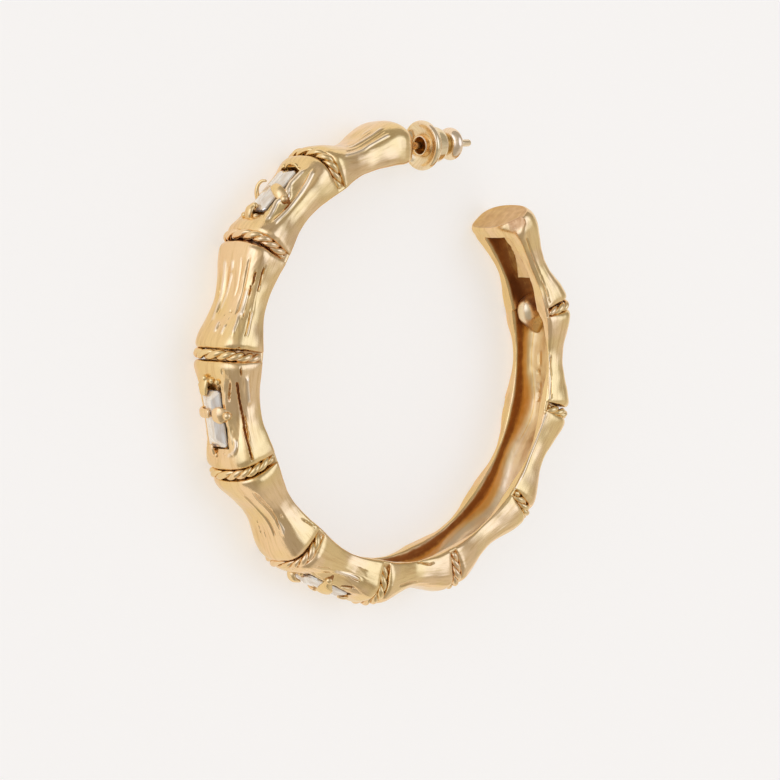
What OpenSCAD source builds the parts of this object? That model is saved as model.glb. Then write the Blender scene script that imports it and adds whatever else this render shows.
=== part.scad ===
// Bamboo hoop earring, lying on its side: the hoop's plane is level and the ear post points along +X.
// The origin is the hoop's centre, on the surface that it lies on. Angles run anticlockwise from +X.

/* [Hoop] */
// Outer radius at the swollen ends of each bamboo length
swell_r = 28; // [27.6:0.1:28.4]
// Outer radius at the waist of each bamboo length
waist_r = 26.3; // [26:0.1:26.6]
// Radius of the two inner rims
rim_r = 22.9; // [22.6:0.1:23.1]
// Width over everything, which is the height of the hoop as it lies
hoop_w = 7.9; // [7.6:0.1:8.2]
// Half width at the waists
waist_b = 3.25; // [3.15:0.05:3.3]
// How boxy the outer face is: 1 is an ellipse, less is squarer
squareness = 0.85; // [0.75:0.05:0.95]
// Angle of the free end's flat face
free_end_a = 400.3; // [399.5:0.2:400.5]
// Angle of the rounded end that carries the post
post_end_a = 81.8; // [81:0.2:83]
// Angle of the swelling next to the post
lobe_a = 90.5; // [90:0.5:91.5]
// How far the free end is bent inwards
free_end_in = 0.85; // [0.6:0.05:1]
// Tilt of the free end's face, in degrees along the hoop for each mm of radius
face_tilt = 0.28; // [0.1:0.02:0.4]

/* [Gutter in the inner side] */
// Radius of the gutter's floor at the waists
floor_waist_r = 25.1; // [24.9:0.1:25.2]
// Radius of the gutter's floor at the joints
floor_swell_r = 26.1; // [25.6:0.1:26.2]
// Half width of the gutter at the waists
gutter_b = 2.35; // [2.2:0.05:2.45]
// Half width of the gutter at the joints
gutter_joint_b = 2.15; // [2:0.05:2.2]
// Half width of the gutter in the length next to the free end
gutter_end_b = 1.95; // [1.8:0.05:2.1]
// Thickness of the solid plate behind the free end's face
end_plate = 1.7; // [1.3:0.1:2.2]
// Length along the hoop of the plain cast pad inside the gutter
pad_l = 3.9; // [3:0.1:4.5]

/* [Rope bands] */
// Diameter of a rope
rope_d = 1.2; // [1.1:0.02:1.22]
// Length of rope from one grain of its twist to the next
grain_l = 1.35; // [1.1:0.05:1.6]
// Width of the groove that a rope lies in
groove_w = 1.5; // [1.4:0.1:1.7]
// Depth of that groove
groove_d = 1.05; // [1:0.05:1.1]
// How far a rope wanders to either side of its groove's middle
rope_sway = 0.14; // [0:0.02:0.2]

/* [Stones] */
// Length of a stone
stone_l = 6.4; // [6:0.1:6.6]
// Width of a stone
stone_w = 2.9; // [2.7:0.1:3]
// Radius from the hoop's centre to a stone's widest level
girdle_r = 27; // [26.9:0.05:27.1]
// Height of a stone's crown above that level
crown_h = 0.65; // [0.5:0.05:0.7]
// Depth of a stone below that level
pavilion_h = 1.05; // [0.9:0.05:1.1]
// Thickness of the seat's walls round a stone
seat_wall = 0.4; // [0.34:0.02:0.46]
// Gap between a stone and its metal
stone_gap = 0.08; // [0.06:0.01:0.12]
// Space left free in the seat past each end of a stone
end_space = 0.45; // [0.3:0.05:0.6]
// Width of the two claws over a stone's long sides
side_claw_w = 1.5; // [1.2:0.1:1.7]
// Width of the two claws over a stone's ends
end_claw_w = 0.9; // [0.7:0.1:1.1]
// Thickness of a claw
claw_t = 0.36; // [0.3:0.02:0.44]

/* [Post and ear nut] */
// Height of the post's axis above the hoop's centre, as the earring is worn
post_y = 24.9; // [24.7:0.1:25.1]
// Diameter of the post
post_d = 0.86; // [0.8:0.02:0.9]
// Distance of the post's tip from the hoop's upright centre line
post_tip_x = 13.7; // [13.5:0.1:15]
// Radial clearance of the ear nut on the post
nut_clearance = 0.03; // [0.02:0.01:0.08]
// Diameter of the ear nut's dished disc
disc_d = 5.84; // [5.4:0.02:6.2]
// Where the dished disc's rim stands at rest
disc_x = 5.8; // [5.5:0.1:6]
// Diameter of the nut's bell behind the disc
bell_d = 4.3; // [4:0.1:4.6]
// Diameter of the nut's end bead
bead_d = 3.9; // [3.6:0.05:4.2]

/* [Hidden] */
gold = "goldenrod";
crystal = "mistyrose";

// The ten joints between the eleven bamboo lengths, counted from the post
JOINTS = [116, 144, 172.5, 201, 229, 256.5, 283, 313, 342, 370.5];
// Angles of the stones' middles
STONES = [129.6, 187.5, 242.8];
// The last joint, where the gutter narrows and the pad stands
last_joint_a = JOINTS[9];

mid_z = hoop_w / 2;
swell_b = hoop_w / 2;
mean_r = (swell_r + rim_r) / 2;
free_swell_a = free_end_a - 2;
gutter_from_a = lobe_a + 2;
gutter_to_a = free_end_a - deg_of(end_plate);
// How much deeper a groove is on the flanks, the share of its depth that reaches the rims, and the
// rims' half width as a share of the bamboo's
flank_cut = 1.35;
rim_cut = 0.15;
rim_b_share = 0.97;
// Slope of a groove's sides, the gutter's draft and fillet
lip_slope = 0.15;
draft = 0.1;
fillet = 0.5;
// Points round the outer face, rings along a bamboo length
face_n = 10;
length_n = 5;
lathe_n = 96;
// Swellings of the bamboo: the lobe at the post, the joints and the flare at the free end
SWELLS = concat([lobe_a], JOINTS, [free_swell_a]);

// Angle that a length along the hoop takes at the mean radius
function deg_of(l) = l / mean_r * 180 / PI;
function mix(a, b, t) = a + (b - a) * t;
function clamp01(t) = min(1, max(0, t));
function at_angle(p, a) = [p[0] * cos(a), p[0] * sin(a), p[1]];

// Number of the bamboo length that angle a lies in, 0 next to the post
function length_of(a) = min(len(SWELLS) - 2, max(0, len([for (s = SWELLS) if (s <= a) s]) - 1));
// 1 at a swelling, 0 at a waist
function swell(a) =
    let (i = length_of(a), u = (a - SWELLS[i]) / (SWELLS[i + 1] - SWELLS[i]))
    pow(cos(180 * u), 2);
// 1 on the floor of a groove, 0 past its lips
function groove(a) =
    let (near = min([for (j = JOINTS) abs(a - j)]) * mean_r * PI / 180)
    clamp01((groove_w / 2 - near) / lip_slope);
// 1 over most of the hoop, falling towards the tip of the rounded end by the post, where tip_share of
// the rounding is modelled and the rest is a small flat
tip_share = 0.94;
function dome(a) = a >= lobe_a ? 1 : sqrt(1 - pow((lobe_a - a) / (lobe_a - post_end_a) * tip_share, 2));
// 0 up to the last joint, 1 at the free end
function free_share(a) = clamp01((a - last_joint_a) / (free_end_a - last_joint_a));
// 1 over most of the hoop, less by end_bevel at the free end's face
end_bevel = 0.12;
function bevel(a) = 1 - end_bevel * pow(clamp01((a - free_swell_a) / (free_end_a - free_swell_a)), 2);

// The section at angle a: outer radius, half width, rim radius, gutter floor radius, gutter half width,
// half width over the rims
function section(a) =
    let (
        k = dome(a) * bevel(a),
        cut = groove_d * groove(a),
        open = a > gutter_from_a && a < gutter_to_a,
        ri = mean_r - (mean_r - rim_r) * k,
        b = mix(waist_b, swell_b, swell(a)),
        g = a > last_joint_a ? gutter_end_b : mix(gutter_b, gutter_joint_b, swell(a)),
        bend = free_end_in * free_share(a)
    )
    [
        mean_r + (mix(waist_r, swell_r, swell(a)) - cut - mean_r) * k - bend,
        (b - flank_cut * cut) * k,
        ri - bend,
        (open ? mix(floor_waist_r, floor_swell_r, swell(a)) : ri) - bend,
        g * k,
        (rim_b_share * b - rim_cut * cut) * k
    ];

// Point of the outer face as [radius, z], t = 0 on the upper flank and 1 on the lower one
function face_point(t, s) =
    let (rc = (s[0] + s[2]) / 2, c = cos(180 * t))
    [rc + (s[0] - rc) * pow(sin(180 * t), squareness), s[1] * sign(c) * pow(abs(c), squareness)];

// Outline of the section as [radius, z] points: the outer face, then the gutter
function outline(s) =
    let (ri = s[2], wall_r = mix(s[2], s[3], 0.75), g = s[4], rb = s[5])
    concat(
        [[ri, rb]],
        [for (i = [0:face_n]) face_point(i / face_n, s)],
        [[ri, -rb], [ri, -g], [wall_r, draft - g], [s[3], fillet - g]],
        [[s[3], g - fillet], [wall_r, g - draft], [ri, g]]
    );

// Angles of the rings: close together at the grooves and the ends, even between them
lip_a = deg_of(groove_w / 2);
foot_a = deg_of(groove_w / 2 - lip_slope);
function rings_between(a, b) = [for (i = [1:length_n]) mix(a, b, i / (length_n + 1))];
function rings_at_joint(i) =
    let (j = JOINTS[i], next = i < 9 ? JOINTS[i + 1] - lip_a : gutter_to_a - 0.5)
    concat([j - lip_a, j - foot_a, j + foot_a, j + lip_a], rings_between(j + lip_a, next));
RINGS = concat(
    [for (i = [0:6]) mix(post_end_a, lobe_a, pow(i / 6, 0.6))],
    [gutter_from_a, gutter_from_a + 0.5],
    rings_between(gutter_from_a + 0.5, JOINTS[0] - lip_a),
    [for (i = [0:9]) each rings_at_joint(i)],
    [gutter_to_a - 0.5, gutter_to_a],
    [free_swell_a, mix(free_swell_a, free_end_a, 0.6), free_end_a]
);

// Sum of the cross products round a ring: it points along the ring's axis
function ring_axis(r) = let (n = len(r)) sum([for (i = [1:n - 2]) cross(r[i] - r[0], r[i + 1] - r[0])]);
function sum(v, i = 0) = i == len(v) - 1 ? v[i] : v[i] + sum(v, i + 1);
function reversed(r) = [for (i = [len(r) - 1:-1:0]) r[i]];

// A closed solid through rings of points, each with the same number of points
module through_rings(given) {
    onward = ring_axis(given[1]) * (given[2][0] - given[0][0]) > 0;
    rings = onward ? given : [for (r = given) reversed(r)];
    n = len(rings[0]);
    m = len(rings);
    polyhedron(
        points = [for (r = rings) each r],
        faces = concat(
            [[for (i = [0:n - 1]) i]],
            [for (j = [0:m - 2]) for (i = [0:n - 1]) each strip(j * n, i, n)],
            [[for (i = [n - 1:-1:0]) (m - 1) * n + i]]
        ),
        convexity = 10
    );
}
function strip(p, i, n) =
    let (k = (i + 1) % n, q = p + n)
    [[p + i, q + k, p + k], [p + i, q + i, q + k]];

module bamboo() {
    through_rings([for (a = RINGS)
        [for (p = outline(section(a)))
            at_angle(p, a + face_tilt * (mean_r - p[0]) * pow(free_share(a), 2))]]);
}

// Route of a rope over its groove's floor, as [radius, z]: s = 0 at the upper rim and 1 at the lower one.
// It is flush with the lips on the flanks, and its two ends run into the metal of the rims.
// flank_share of the route is on each flank, and rope_lift keeps the rope off the groove's floor.
// waist_share is the rope's thickness between two grains, and strand_slope how far the grains lean.
flank_share = 0.16;
rope_lift = 0.06;
waist_share = 0.66;
strand_slope = 1.3;
rope_h = rope_d / 2;
ROPE_SECTION = [swell_r - groove_d + rope_h + rope_lift, swell_b - rope_h - rope_lift / 2, rim_r];
function rope_route(s) =
    let (
        top = face_point(0, ROPE_SECTION),
        u = min(s, 1 - s) / flank_share,
        side = s < 0.5 ? 1 : -1
    )
    u >= 1 ? face_point((s - flank_share) / (1 - 2 * flank_share), ROPE_SECTION)
    : [mix(rim_r + 0.4, top[0], u), side * (top[1] - 0.25 * pow(1 - u, 2))];
function unit(v) = v / norm(v);

// A rope of two strands shows a row of slanted grains: thick rings and thin rings by turns, each ring
// sheared along the rope by the strands' slope
rope_l = 14.3;
grains = round(rope_l / grain_l);
module rope(i) {
    through_rings([for (k = [0:2 * grains])
        let (s = k / (2 * grains), r = k % 2 == 0 ? waist_share * rope_h : rope_h)
        [for (f = [0:60:300])
            let (
                along = r * sin(f),
                t = clamp01(s + strand_slope * along / rope_l),
                fore = unit(rope_route(min(1, t + 0.01)) - rope_route(max(0, t - 0.01))),
                p = rope_route(t) + r * cos(f) * [-fore[1], fore[0]]
            )
            at_angle(p, JOINTS[i] + deg_of(along + rope_sway * sin(400 * s + 80 * i)))]]);
}

// A stone's place: +X along the hoop, +Y up, +Z outwards, with the origin in the middle of its widest level
module at_stone(i) {
    rotate([0, 0, STONES[i]])
        translate([girdle_r, 0, 0])
            rotate(a = 120, v = [1, 1, 1])
                children();
}

// A box centred on the origin in X and Y, from one height to another
module block(l, w, from_z, to_z) {
    translate([-l / 2, -w / 2, from_z])
        cube([l, w, to_z - from_z]);
}

// Outline of a step-cut stone at one level: a rectangle with cut corners
function cut_corners(l, w, c, z) =
    let (x = l / 2, y = w / 2)
    [[x, c - y, z], [x, y - c, z], [x - c, y, z], [c - x, y, z],
     [-x, y - c, z], [-x, c - y, z], [c - x, -y, z], [x - c, -y, z]];
// Levels of the stone, from its keel to its table: share of the length, share of the width, height
LEVELS = [
    [0.55, 0.12, -pavilion_h],
    [0.84, 0.62, -0.6 * pavilion_h],
    [1, 1, -0.12],
    [1, 1, 0],
    [0.93, 0.78, 0.5 * crown_h],
    [0.84, 0.42, crown_h]
];
module stone(i) {
    color(crystal)
        translate([0, 0, mid_z])
            at_stone(i)
                through_rings([for (v = LEVELS)
                    cut_corners(stone_l * v[0], stone_w * v[1], 0.16 * stone_w * v[1], v[2])]);
}
module stone_1() stone(0);
module stone_2() stone(1);
module stone_3() stone(2);

// Rings of a claw: it stands beside the stone, bends over its crown and thins to a round tip.
// reach is the stone's half size there, table the half size of its table, w the claw's width,
// and base the distance from the stone to the claw's foot.
function claw_rings(reach, table, w, base) =
    let (
        h = claw_t / 2,
        off = h + stone_gap,
        path = [
            [reach + base, -1.1],
            [reach + off + 0.05, -0.2],
            [reach + off * 0.92, off * 0.6],
            [mix(reach, table, 0.5) + off * 0.62, 0.5 * crown_h + off * 0.8],
            [table - 0.25, crown_h + off * 1.05]
        ],
        widths = [1, 1, 1, 0.95, 0.4],
        lean = [20, 20, 35, 55, 85]
    )
    [for (k = [0:4]) [for (f = [30:60:330])
        let (d = h * cos(f))
        [w / 2 * widths[k] * sin(f), path[k][0] + d * cos(lean[k]), path[k][1] + d * sin(lean[k])]]];

module side_claw() {
    through_rings(claw_rings(stone_w / 2, 0.21 * stone_w, side_claw_w, 0.6));
    translate([0, stone_w / 2 + 0.95, -0.75])
        sphere(d = 1.1, $fn = 6);
}
module end_claw() {
    through_rings(claw_rings(stone_l / 2, 0.42 * stone_l, end_claw_w, end_space + 0.1));
    for (side = [-1, 1])
        translate([0.6 * side, stone_l / 2 + end_space + 0.35, -0.3])
            sphere(d = 0.8, $fn = 5);
}
module claws() {
    for (turn = [0, 180])
        rotate([0, 0, turn]) {
            side_claw();
            rotate([0, 0, 90])
                end_claw();
        }
}

// Solid metal round a stone, and the pocket that the stone lies in
pocket_l = stone_l + 2 * end_space;
pocket_w = stone_w + 2 * stone_gap;
module seat() {
    block(pocket_l + 2 * seat_wall, pocket_w + 2 * seat_wall, -1.6, -0.16);
}
module pocket() {
    block(pocket_l, pocket_w, -pavilion_h - stone_gap, 1);
}

// Raised lines beside a stone, bent out round its side claw and sunk into the metal at both ends.
// line_t is a line's place round the outer face, which line_bend lessens over bend_l at the claw.
line_d = 0.44;
line_half_l = 3.9;
line_t = 0.27;
line_bend = 0.075;
bend_l = 0.9;
line_rise = 0.12;
line_sink = 0.4;
module seat_line(i, up) {
    through_rings([for (k = [0:6])
        let (
            along = mix(-line_half_l, line_half_l, k / 6),
            b = STONES[i] + deg_of(along),
            raised = line_rise - line_sink * pow(along / line_half_l, 6),
            p = face_point(line_t - line_bend * exp(-pow(along / bend_l, 2)), section(b))
        )
        [for (f = [0:90:270])
            let (q = p + [raised, raised] + line_d / 2 * [cos(f), sin(f)])
            at_angle([q[0], up * q[1]], b)]]);
}

// Plain pad cast inside the gutter at the last joint: rounded at one end, pointed at the other.
// u runs along it from 0 to 1, and joint_u is where the joint crosses it.
pad_foot_r = floor_swell_r + 0.3;
pad_edge = 0.5;
joint_u = 0.58;
function pad_half_w(u) = (gutter_b + 0.1) * (0.1 + 0.9 * sin(min(90, 140 * u))) * sqrt(1.02 - pow(u, 6));
function pad_top_r(u) = rim_r + 0.1 + 1.2 * pow(abs(2 * u - 1.1), 3);
function pad_outline(w, top) = [
    [pad_foot_r, w], [top + pad_edge, w], [top, w / 2],
    [top, -w / 2], [top + pad_edge, -w], [pad_foot_r, -w]
];
module pad() {
    through_rings([for (u = [0:1 / 8:1])
        [for (p = pad_outline(pad_half_w(u), pad_top_r(u)))
            at_angle(p, last_joint_a + deg_of(pad_l * (u - joint_u)))]]);
}

// Everything that is cast in one piece, with the hoop's middle level at z = 0
module casting() {
    resize([0, 0, hoop_w])
        union() {
            difference() {
                union() {
                    bamboo();
                    for (i = [0:2])
                        at_stone(i) seat();
                }
                for (i = [0:2])
                    at_stone(i) pocket();
            }
            pad();
            for (i = [0:9])
                rope(i);
            for (i = [0:2]) {
                at_stone(i) claws();
                seat_line(i, 1);
                seat_line(i, -1);
            }
        }
}

// The post: a true cylinder from inside the rounded end to a chamfered tip, with a shallow notch all
// round it that the ear nut's end grips at rest
post_from_x = 1.5;
nut_l = 5.4;
notch_l = 0.9;
notch_depth = 0.08;
notch_to_x = disc_x + nut_l;
module post() {
    r = post_d / 2;
    translate([0, post_y, 0])
        rotate([0, 90, 0])
            rotate_extrude($fn = lathe_n)
                polygon([
                    [0, post_from_x], [r, post_from_x],
                    [r, notch_to_x - notch_l], [r - notch_depth, notch_to_x - notch_l / 2], [r, notch_to_x],
                    [r, post_tip_x - 0.2], [r - 0.18, post_tip_x], [0, post_tip_x]
                ]);
}

module bamboo_hoop() {
    color(gold)
        translate([0, 0, mid_z]) {
            casting();
            post();
        }
}

// Half section of the ear nut as [radius, distance behind the disc's rim]
bore_r = post_d / 2 + nut_clearance;
NUT = let (d = disc_d / 2, b = bell_d / 2, e = bead_d / 2) [
    [d - 0.28, 0], [d - 0.08, 0.06], [d, 0.2], [d, 0.38], [d - 0.12, 0.55],
    [d - 0.42, 0.7], [b + 0.3, 0.85], [b + 0.3, 1.1], [b + 0.05, 1.3],
    [b, 1.9], [b - 0.05, 2.6], [b - 0.25, 3.1], [b - 0.65, 3.5], [b - 1.05, 3.72],
    [b - 1.05, 3.95], [e - 0.5, 4.1], [e - 0.12, 4.38], [e, 4.75], [e - 0.12, 5.08], [e - 0.45, 5.3],
    [e - 1, nut_l], [bore_r + 0.1, nut_l], [bore_r, nut_l - 0.1],
    [bore_r, 2.5], [0.85, 2.2], [0.95, 1.2], [1.2, 1.05], [1.3, 1.25],
    [1.55, 1.2], [d - 0.75, 0.45]
];
module ear_nut() {
    color(gold)
        translate([disc_x, post_y, mid_z])
            rotate([0, 90, 0])
                rotate_extrude($fn = lathe_n)
                    polygon(NUT);
}

bamboo_hoop();
stone_1();
stone_2();
stone_3();
ear_nut();
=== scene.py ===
import math
from functools import reduce

import bmesh
import bpy
import numpy as np
from mathutils import Matrix, Vector


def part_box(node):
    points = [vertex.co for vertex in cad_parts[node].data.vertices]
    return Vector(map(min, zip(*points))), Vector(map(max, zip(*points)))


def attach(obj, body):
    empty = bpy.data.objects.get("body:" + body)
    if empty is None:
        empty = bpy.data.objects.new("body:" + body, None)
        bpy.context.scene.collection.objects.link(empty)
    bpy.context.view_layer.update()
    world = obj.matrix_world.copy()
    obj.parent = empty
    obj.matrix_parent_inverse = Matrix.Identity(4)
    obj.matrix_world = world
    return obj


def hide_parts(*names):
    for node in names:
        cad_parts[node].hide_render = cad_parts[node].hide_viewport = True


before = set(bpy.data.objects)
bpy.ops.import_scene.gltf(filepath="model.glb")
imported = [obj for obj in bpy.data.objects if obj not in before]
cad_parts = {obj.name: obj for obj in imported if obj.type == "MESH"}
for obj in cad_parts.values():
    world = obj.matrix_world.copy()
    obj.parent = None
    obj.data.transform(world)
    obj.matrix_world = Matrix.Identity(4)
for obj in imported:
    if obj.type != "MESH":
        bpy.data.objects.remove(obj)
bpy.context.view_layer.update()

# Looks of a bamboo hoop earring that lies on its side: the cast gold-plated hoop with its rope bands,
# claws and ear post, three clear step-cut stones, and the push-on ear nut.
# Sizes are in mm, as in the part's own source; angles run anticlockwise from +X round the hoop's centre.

MM = 0.001

# Hoop: radius of the outer face at the joints and waists, radius of the rims, half widths
SWELL_R = 28.0
WAIST_R = 26.3
RIM_R = 22.9
SWELL_B = 7.9 / 2
WAIST_B = 3.25
# Power that squares the outer face off: 1 would be half an ellipse
SQUARENESS = 0.85
# Angles of the free end, of the rounded end by the post and of where its rounding begins
FREE_END_A = 400.3
POST_END_A = 82.9
LOBE_A = 91.2
# The last length bends in towards the hoop's centre by this much at the free end, and its face tilts by
# this many degrees for each mm inside the mean radius
FREE_END_IN = 0.85
FACE_TILT = 0.28
# Share by which the section narrows over the last two degrees
END_BEVEL = 0.09
# Angles of the joints, and of every place where the hoop swells out
JOINTS = np.array([116, 144, 172.5, 201, 229, 256.5, 283, 313, 342, 370.5])
LAST_JOINT_A = JOINTS[-1]
FREE_SWELL_A = FREE_END_A - 2
SWELLS = np.concatenate([[LOBE_A], JOINTS, [FREE_SWELL_A]])
MEAN_R = (SWELL_R + RIM_R) / 2
MID_Z = (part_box("bamboo_hoop")[0].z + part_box("bamboo_hoop")[1].z) / 2 / MM

# Gutter in the inner side: radius of its floor, its half width, the slope of its walls
FLOOR_WAIST_R = 25.1
FLOOR_SWELL_R = 26.1
GUTTER_B = 2.35
GUTTER_JOINT_B = 2.15
GUTTER_END_B = 1.95
GUTTER_DRAFT = 0.06
# The gutter's upper wall, the one in front, is thinner by this much up to the last joint
UPPER_WIDER = 0.35
# Thickness of the metal that closes the free end
END_PLATE = 1.7
# Half width over the rims as a share of the half width over the flanks
RIM_B_SHARE = 0.945
# Rounding of the rims' outer corners in mm, and how much more it is by the two ends
RIM_ROUND = 0.5
RIM_ROUND_AT_ENDS = 0.7
# Rounding in the gutter: the lower rim's edge, the floor's lower and upper corner, the upper rim's edge
GUTTER_ROUNDS = [0.5, 2.1, 1.15, 0.22]
# The most that the rounding of each of the section's eight corners may take of a side
MOST_OF_SIDE = [0.49, 0.49, 0.49, 0.49, 0.36, 0.86, 0.49, 0.49]
# Added to a length that divides, so that it isn't zero
HAIR = 1e-5
# How often the upper rim's outer corner is evened out by the free end
SOFTENING_ROUNDS = 30
# How far the rim side of the closed free end arches towards the hoop's centre
END_ARCH = 0.15
# Share by which the free end's edge is rounded off, over the last degree
END_ROUND = 0.03
# The free end's face is sunk by this much inside its edge
FACE_SUNK = 0.09
# The upper rim of the last length leans outwards by this much, and by the free end's face by this much
# more
RIM_LEAN = 0.5
FACE_LEAN = 1.8
# Share of its charted width that a cast line is made with: raised ones and those cut in
RAISED_WIDTH = 0.9
CUT_WIDTH = 0.6
# Distance between the points of a cast line's path, and between the casting's rings
LINE_STEP = 0.12
RING_STEP = 0.21

# The last length's gutter is filled up in front: distance from the end plate, how deep the fill's
# surface lies under the rims, and the place round the section where the fill begins
FILL_AT = [-0.6, 0.0, 1.2, 2.5, 4.0, 5.5, 7.2, 7.5]
FILL_DEPTH = [0.0, 0.05, 0.28, 0.5, 0.72, 0.95, 1.15, 3.5]
FILL_FROM = [4.66, 4.66, 4.63, 4.57, 4.45, 4.25, 4.0, 4.0]
# How far the rims wave towards the hoop's centre at the joints
RIM_WAVE = 0.26
# Height of the streaks on each length, in mm
STREAKS = [0.012, 0.01, 0.024, 0.016, 0.009, 0.007, 0.006, 0.006, 0.006, 0.008, 0.008]
# The flanks swell out by a quarter of this halfway between the outer face and the rims
FLANK_BULGE = 0.35
# Share by which a length's extra ring is drawn in under its neighbour
TUCK = 0.001
# Shares of the way to the middle of an end, where loops of points lie: rounded end, free end's face
LOBE_LOOPS = (0.3, 0.6, 0.85)
FACE_LOOPS = (0.02, 0.05, 0.08, 0.14, 0.3, 0.5, 0.7, 0.9)
# Edges of the casting and the nut that are sharper than this stay sharp, in degrees
SHARP = 38

# Painted shade on the plate: 0 where it is polished, 1 in the deepest hollow, above 1 painted black as
# shadow
# Below 0 the same values paint a highlight instead
GROOVE_DARK = 0.4
CUT_DARK = 0.75
FILL_DARK = 0.1
FOOT_DARK = 0.2
SEAM_DARK = 0.6
PAD_DARK = 1.2
FACE_EDGE_DARK = 0.6
FACE_DARK = 0.42
POCKET_DARK = 2.0
# How much brighter the gutter's floor is painted, a painted highlight, and how rough from the mould the
# free end's face is
FLOOR_PAINTED_BRIGHT = 0.7
FACE_ROUGH = 0.3

# Rope bands and the grooves they lie in: the rope's thickness, its two strands, points along it
ROPE_D = 1.16
STRAND_R = ROPE_D * 0.27
STRAND_SIDES = 14
ROPE_STEPS = 150
# Gap between a rope and its groove's floor, and how far its ends lie from the rims
ROPE_GAP = 0.05
ROPE_END = 0.3
# Length along the rope from one grain of its twist to the next
GRAIN_L = 1.3
# Width and depth of a groove
GROOVE_W = 1.28
GROOVE_D = 1.05
# A lip is rounded over this length, and its edge lies at this share of the groove's depth
LIP = 0.85
LIP_DROP = 0.36
# Length along the hoop of the step from a lip's edge to the groove's floor
GROOVE_WALL = 0.08
# How deep a groove cuts into the flanks and the rims, as a share of its depth in the outer face
FLANK_CUT = 1.3
RIM_CUT = 0.05
# Share of a rope that lies on each flank
FLANK_SHARE = 0.16
# How far each rope lies from its groove's middle, towards larger angles: at the upper rim, over the
# outer face and at the lower rim
ROPE_LAY = [
    (-0.05, -0.2, -0.2), (-0.2, -0.2, -0.1), (0.2, 0, -0.22), (-0.15, 0, 0.15), (0.2, 0.2, 0.1),
    (-0.15, 0.1, 0), (0.2, 0.2, 0), (0.15, 0, 0), (-0.2, -0.15, 0), (-0.1, 0, 0),
]

# Stones: their angles, length, width, radius of their widest level, height above and below it
STONES = np.array([129.6, 187.5, 242.8])
STONE_L = 6.4
STONE_W = 2.9
GIRDLE_R = 27.0
CROWN_H = 0.65
PAVILION_H = 1.05
# Gap of the pocket round a stone, and where the pocket ends along the hoop
STONE_GAP = 0.15
POCKETS = [(-3.8, 3.75), (-3.85, 3.4), (-3.55, 3.55)]
# Height of the metal round the stones, from their widest level
SEAT_H = -0.12
# Width of that metal, and of the slope at its edge
SEAT_WALL = 1.1
SEAT_SLOPE = 0.8

# Pad inside the gutter: length, half width, place along it where it is widest, height of its middle
# from the hoop's, rings and points a ring
PAD_L = 5.0
PAD_HALF_W = 1.62
PAD_WIDEST = 0.62
PAD_Z = -0.95
PAD_RINGS = 40
PAD_SIDES = 33

# Ear post and nut: the post's height on the hoop, its radius and tip, then the nut's place and length
# and the radii of its disc, its bell, the bead at its end and its bore, and the points of their rings
POST_Y = 24.9
POST_R = 0.43
POST_TIP_X = 13.7
DISC_X = 5.8
NUT_L = 5.4
DISC_R = 2.92
BELL_R = 2.15
BEAD_R = 1.95
BORE_R = 0.46
POST_SIDES = 48
NUT_SIDES = 112


# Curves and vectors

def mix(a, b, t):
    return a + (b - a) * t


def smooth(t):
    """0 to 1 with an even start and end."""
    t = np.clip(t, 0, 1)
    return t * t * (3 - 2 * t)


def rises(x, start, over):
    """0 up to start, 1 from start + over on, smooth between."""
    return smooth((x - start) / over)


def falls(x, end, over):
    """1 up to end - over, 0 from end on, smooth between."""
    return smooth((end - x) / over)


def deepest(*layers):
    """The largest of several values at each point."""
    return reduce(np.maximum, layers)


def squared(wave, power):
    """A sine or cosine with its curve squared off by a power below 1, or drawn to a ridge above 1."""
    return np.sign(wave) * np.abs(wave) ** power


def full_turn(n):
    """n angles all round, in radians."""
    return np.linspace(0, 2 * math.pi, n, endpoint=False)


def unit(v):
    return v / np.linalg.norm(v, axis=-1, keepdims=True)


def stacked(*parts):
    return np.stack(np.broadcast_arrays(*parts), axis=-1)


# Shapes of the bamboo

def deg_of(length):
    """Angle that a length along the hoop takes at the mean radius."""
    return length / MEAN_R * 180 / math.pi


def length_of(angle):
    """Length along the hoop that an angle takes at the mean radius."""
    return angle * MEAN_R * math.pi / 180


def swell(a):
    """1 at a joint or end, 0 at the waist of a bamboo length."""
    i = np.clip(np.searchsorted(SWELLS, a, side="right") - 1, 0, len(SWELLS) - 2)
    u = (a - SWELLS[i]) / (SWELLS[i + 1] - SWELLS[i])
    return np.cos(np.pi * u) ** 2


def from_joint(a):
    """Distance along the hoop to the nearest joint, in mm."""
    return length_of(np.abs(a[..., None] - JOINTS).min(axis=-1))


def groove(a):
    """1 on the floor of a rope's groove, LIP_DROP at the edge of its lips and 0 past their rounding."""
    near = from_joint(a)
    edge = GROOVE_W / 2
    u = np.clip((near - edge) / LIP, 0, 1)
    rounding = LIP_DROP * (1 - np.sqrt(1 - (1 - u) ** 2))
    return mix(rounding, 1, falls(near, edge, GROOVE_WALL))


def free_share(a):
    """0 up to the last joint, 1 at the free end."""
    return np.clip((a - LAST_JOINT_A) / (FREE_END_A - LAST_JOINT_A), 0, 1)


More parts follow.
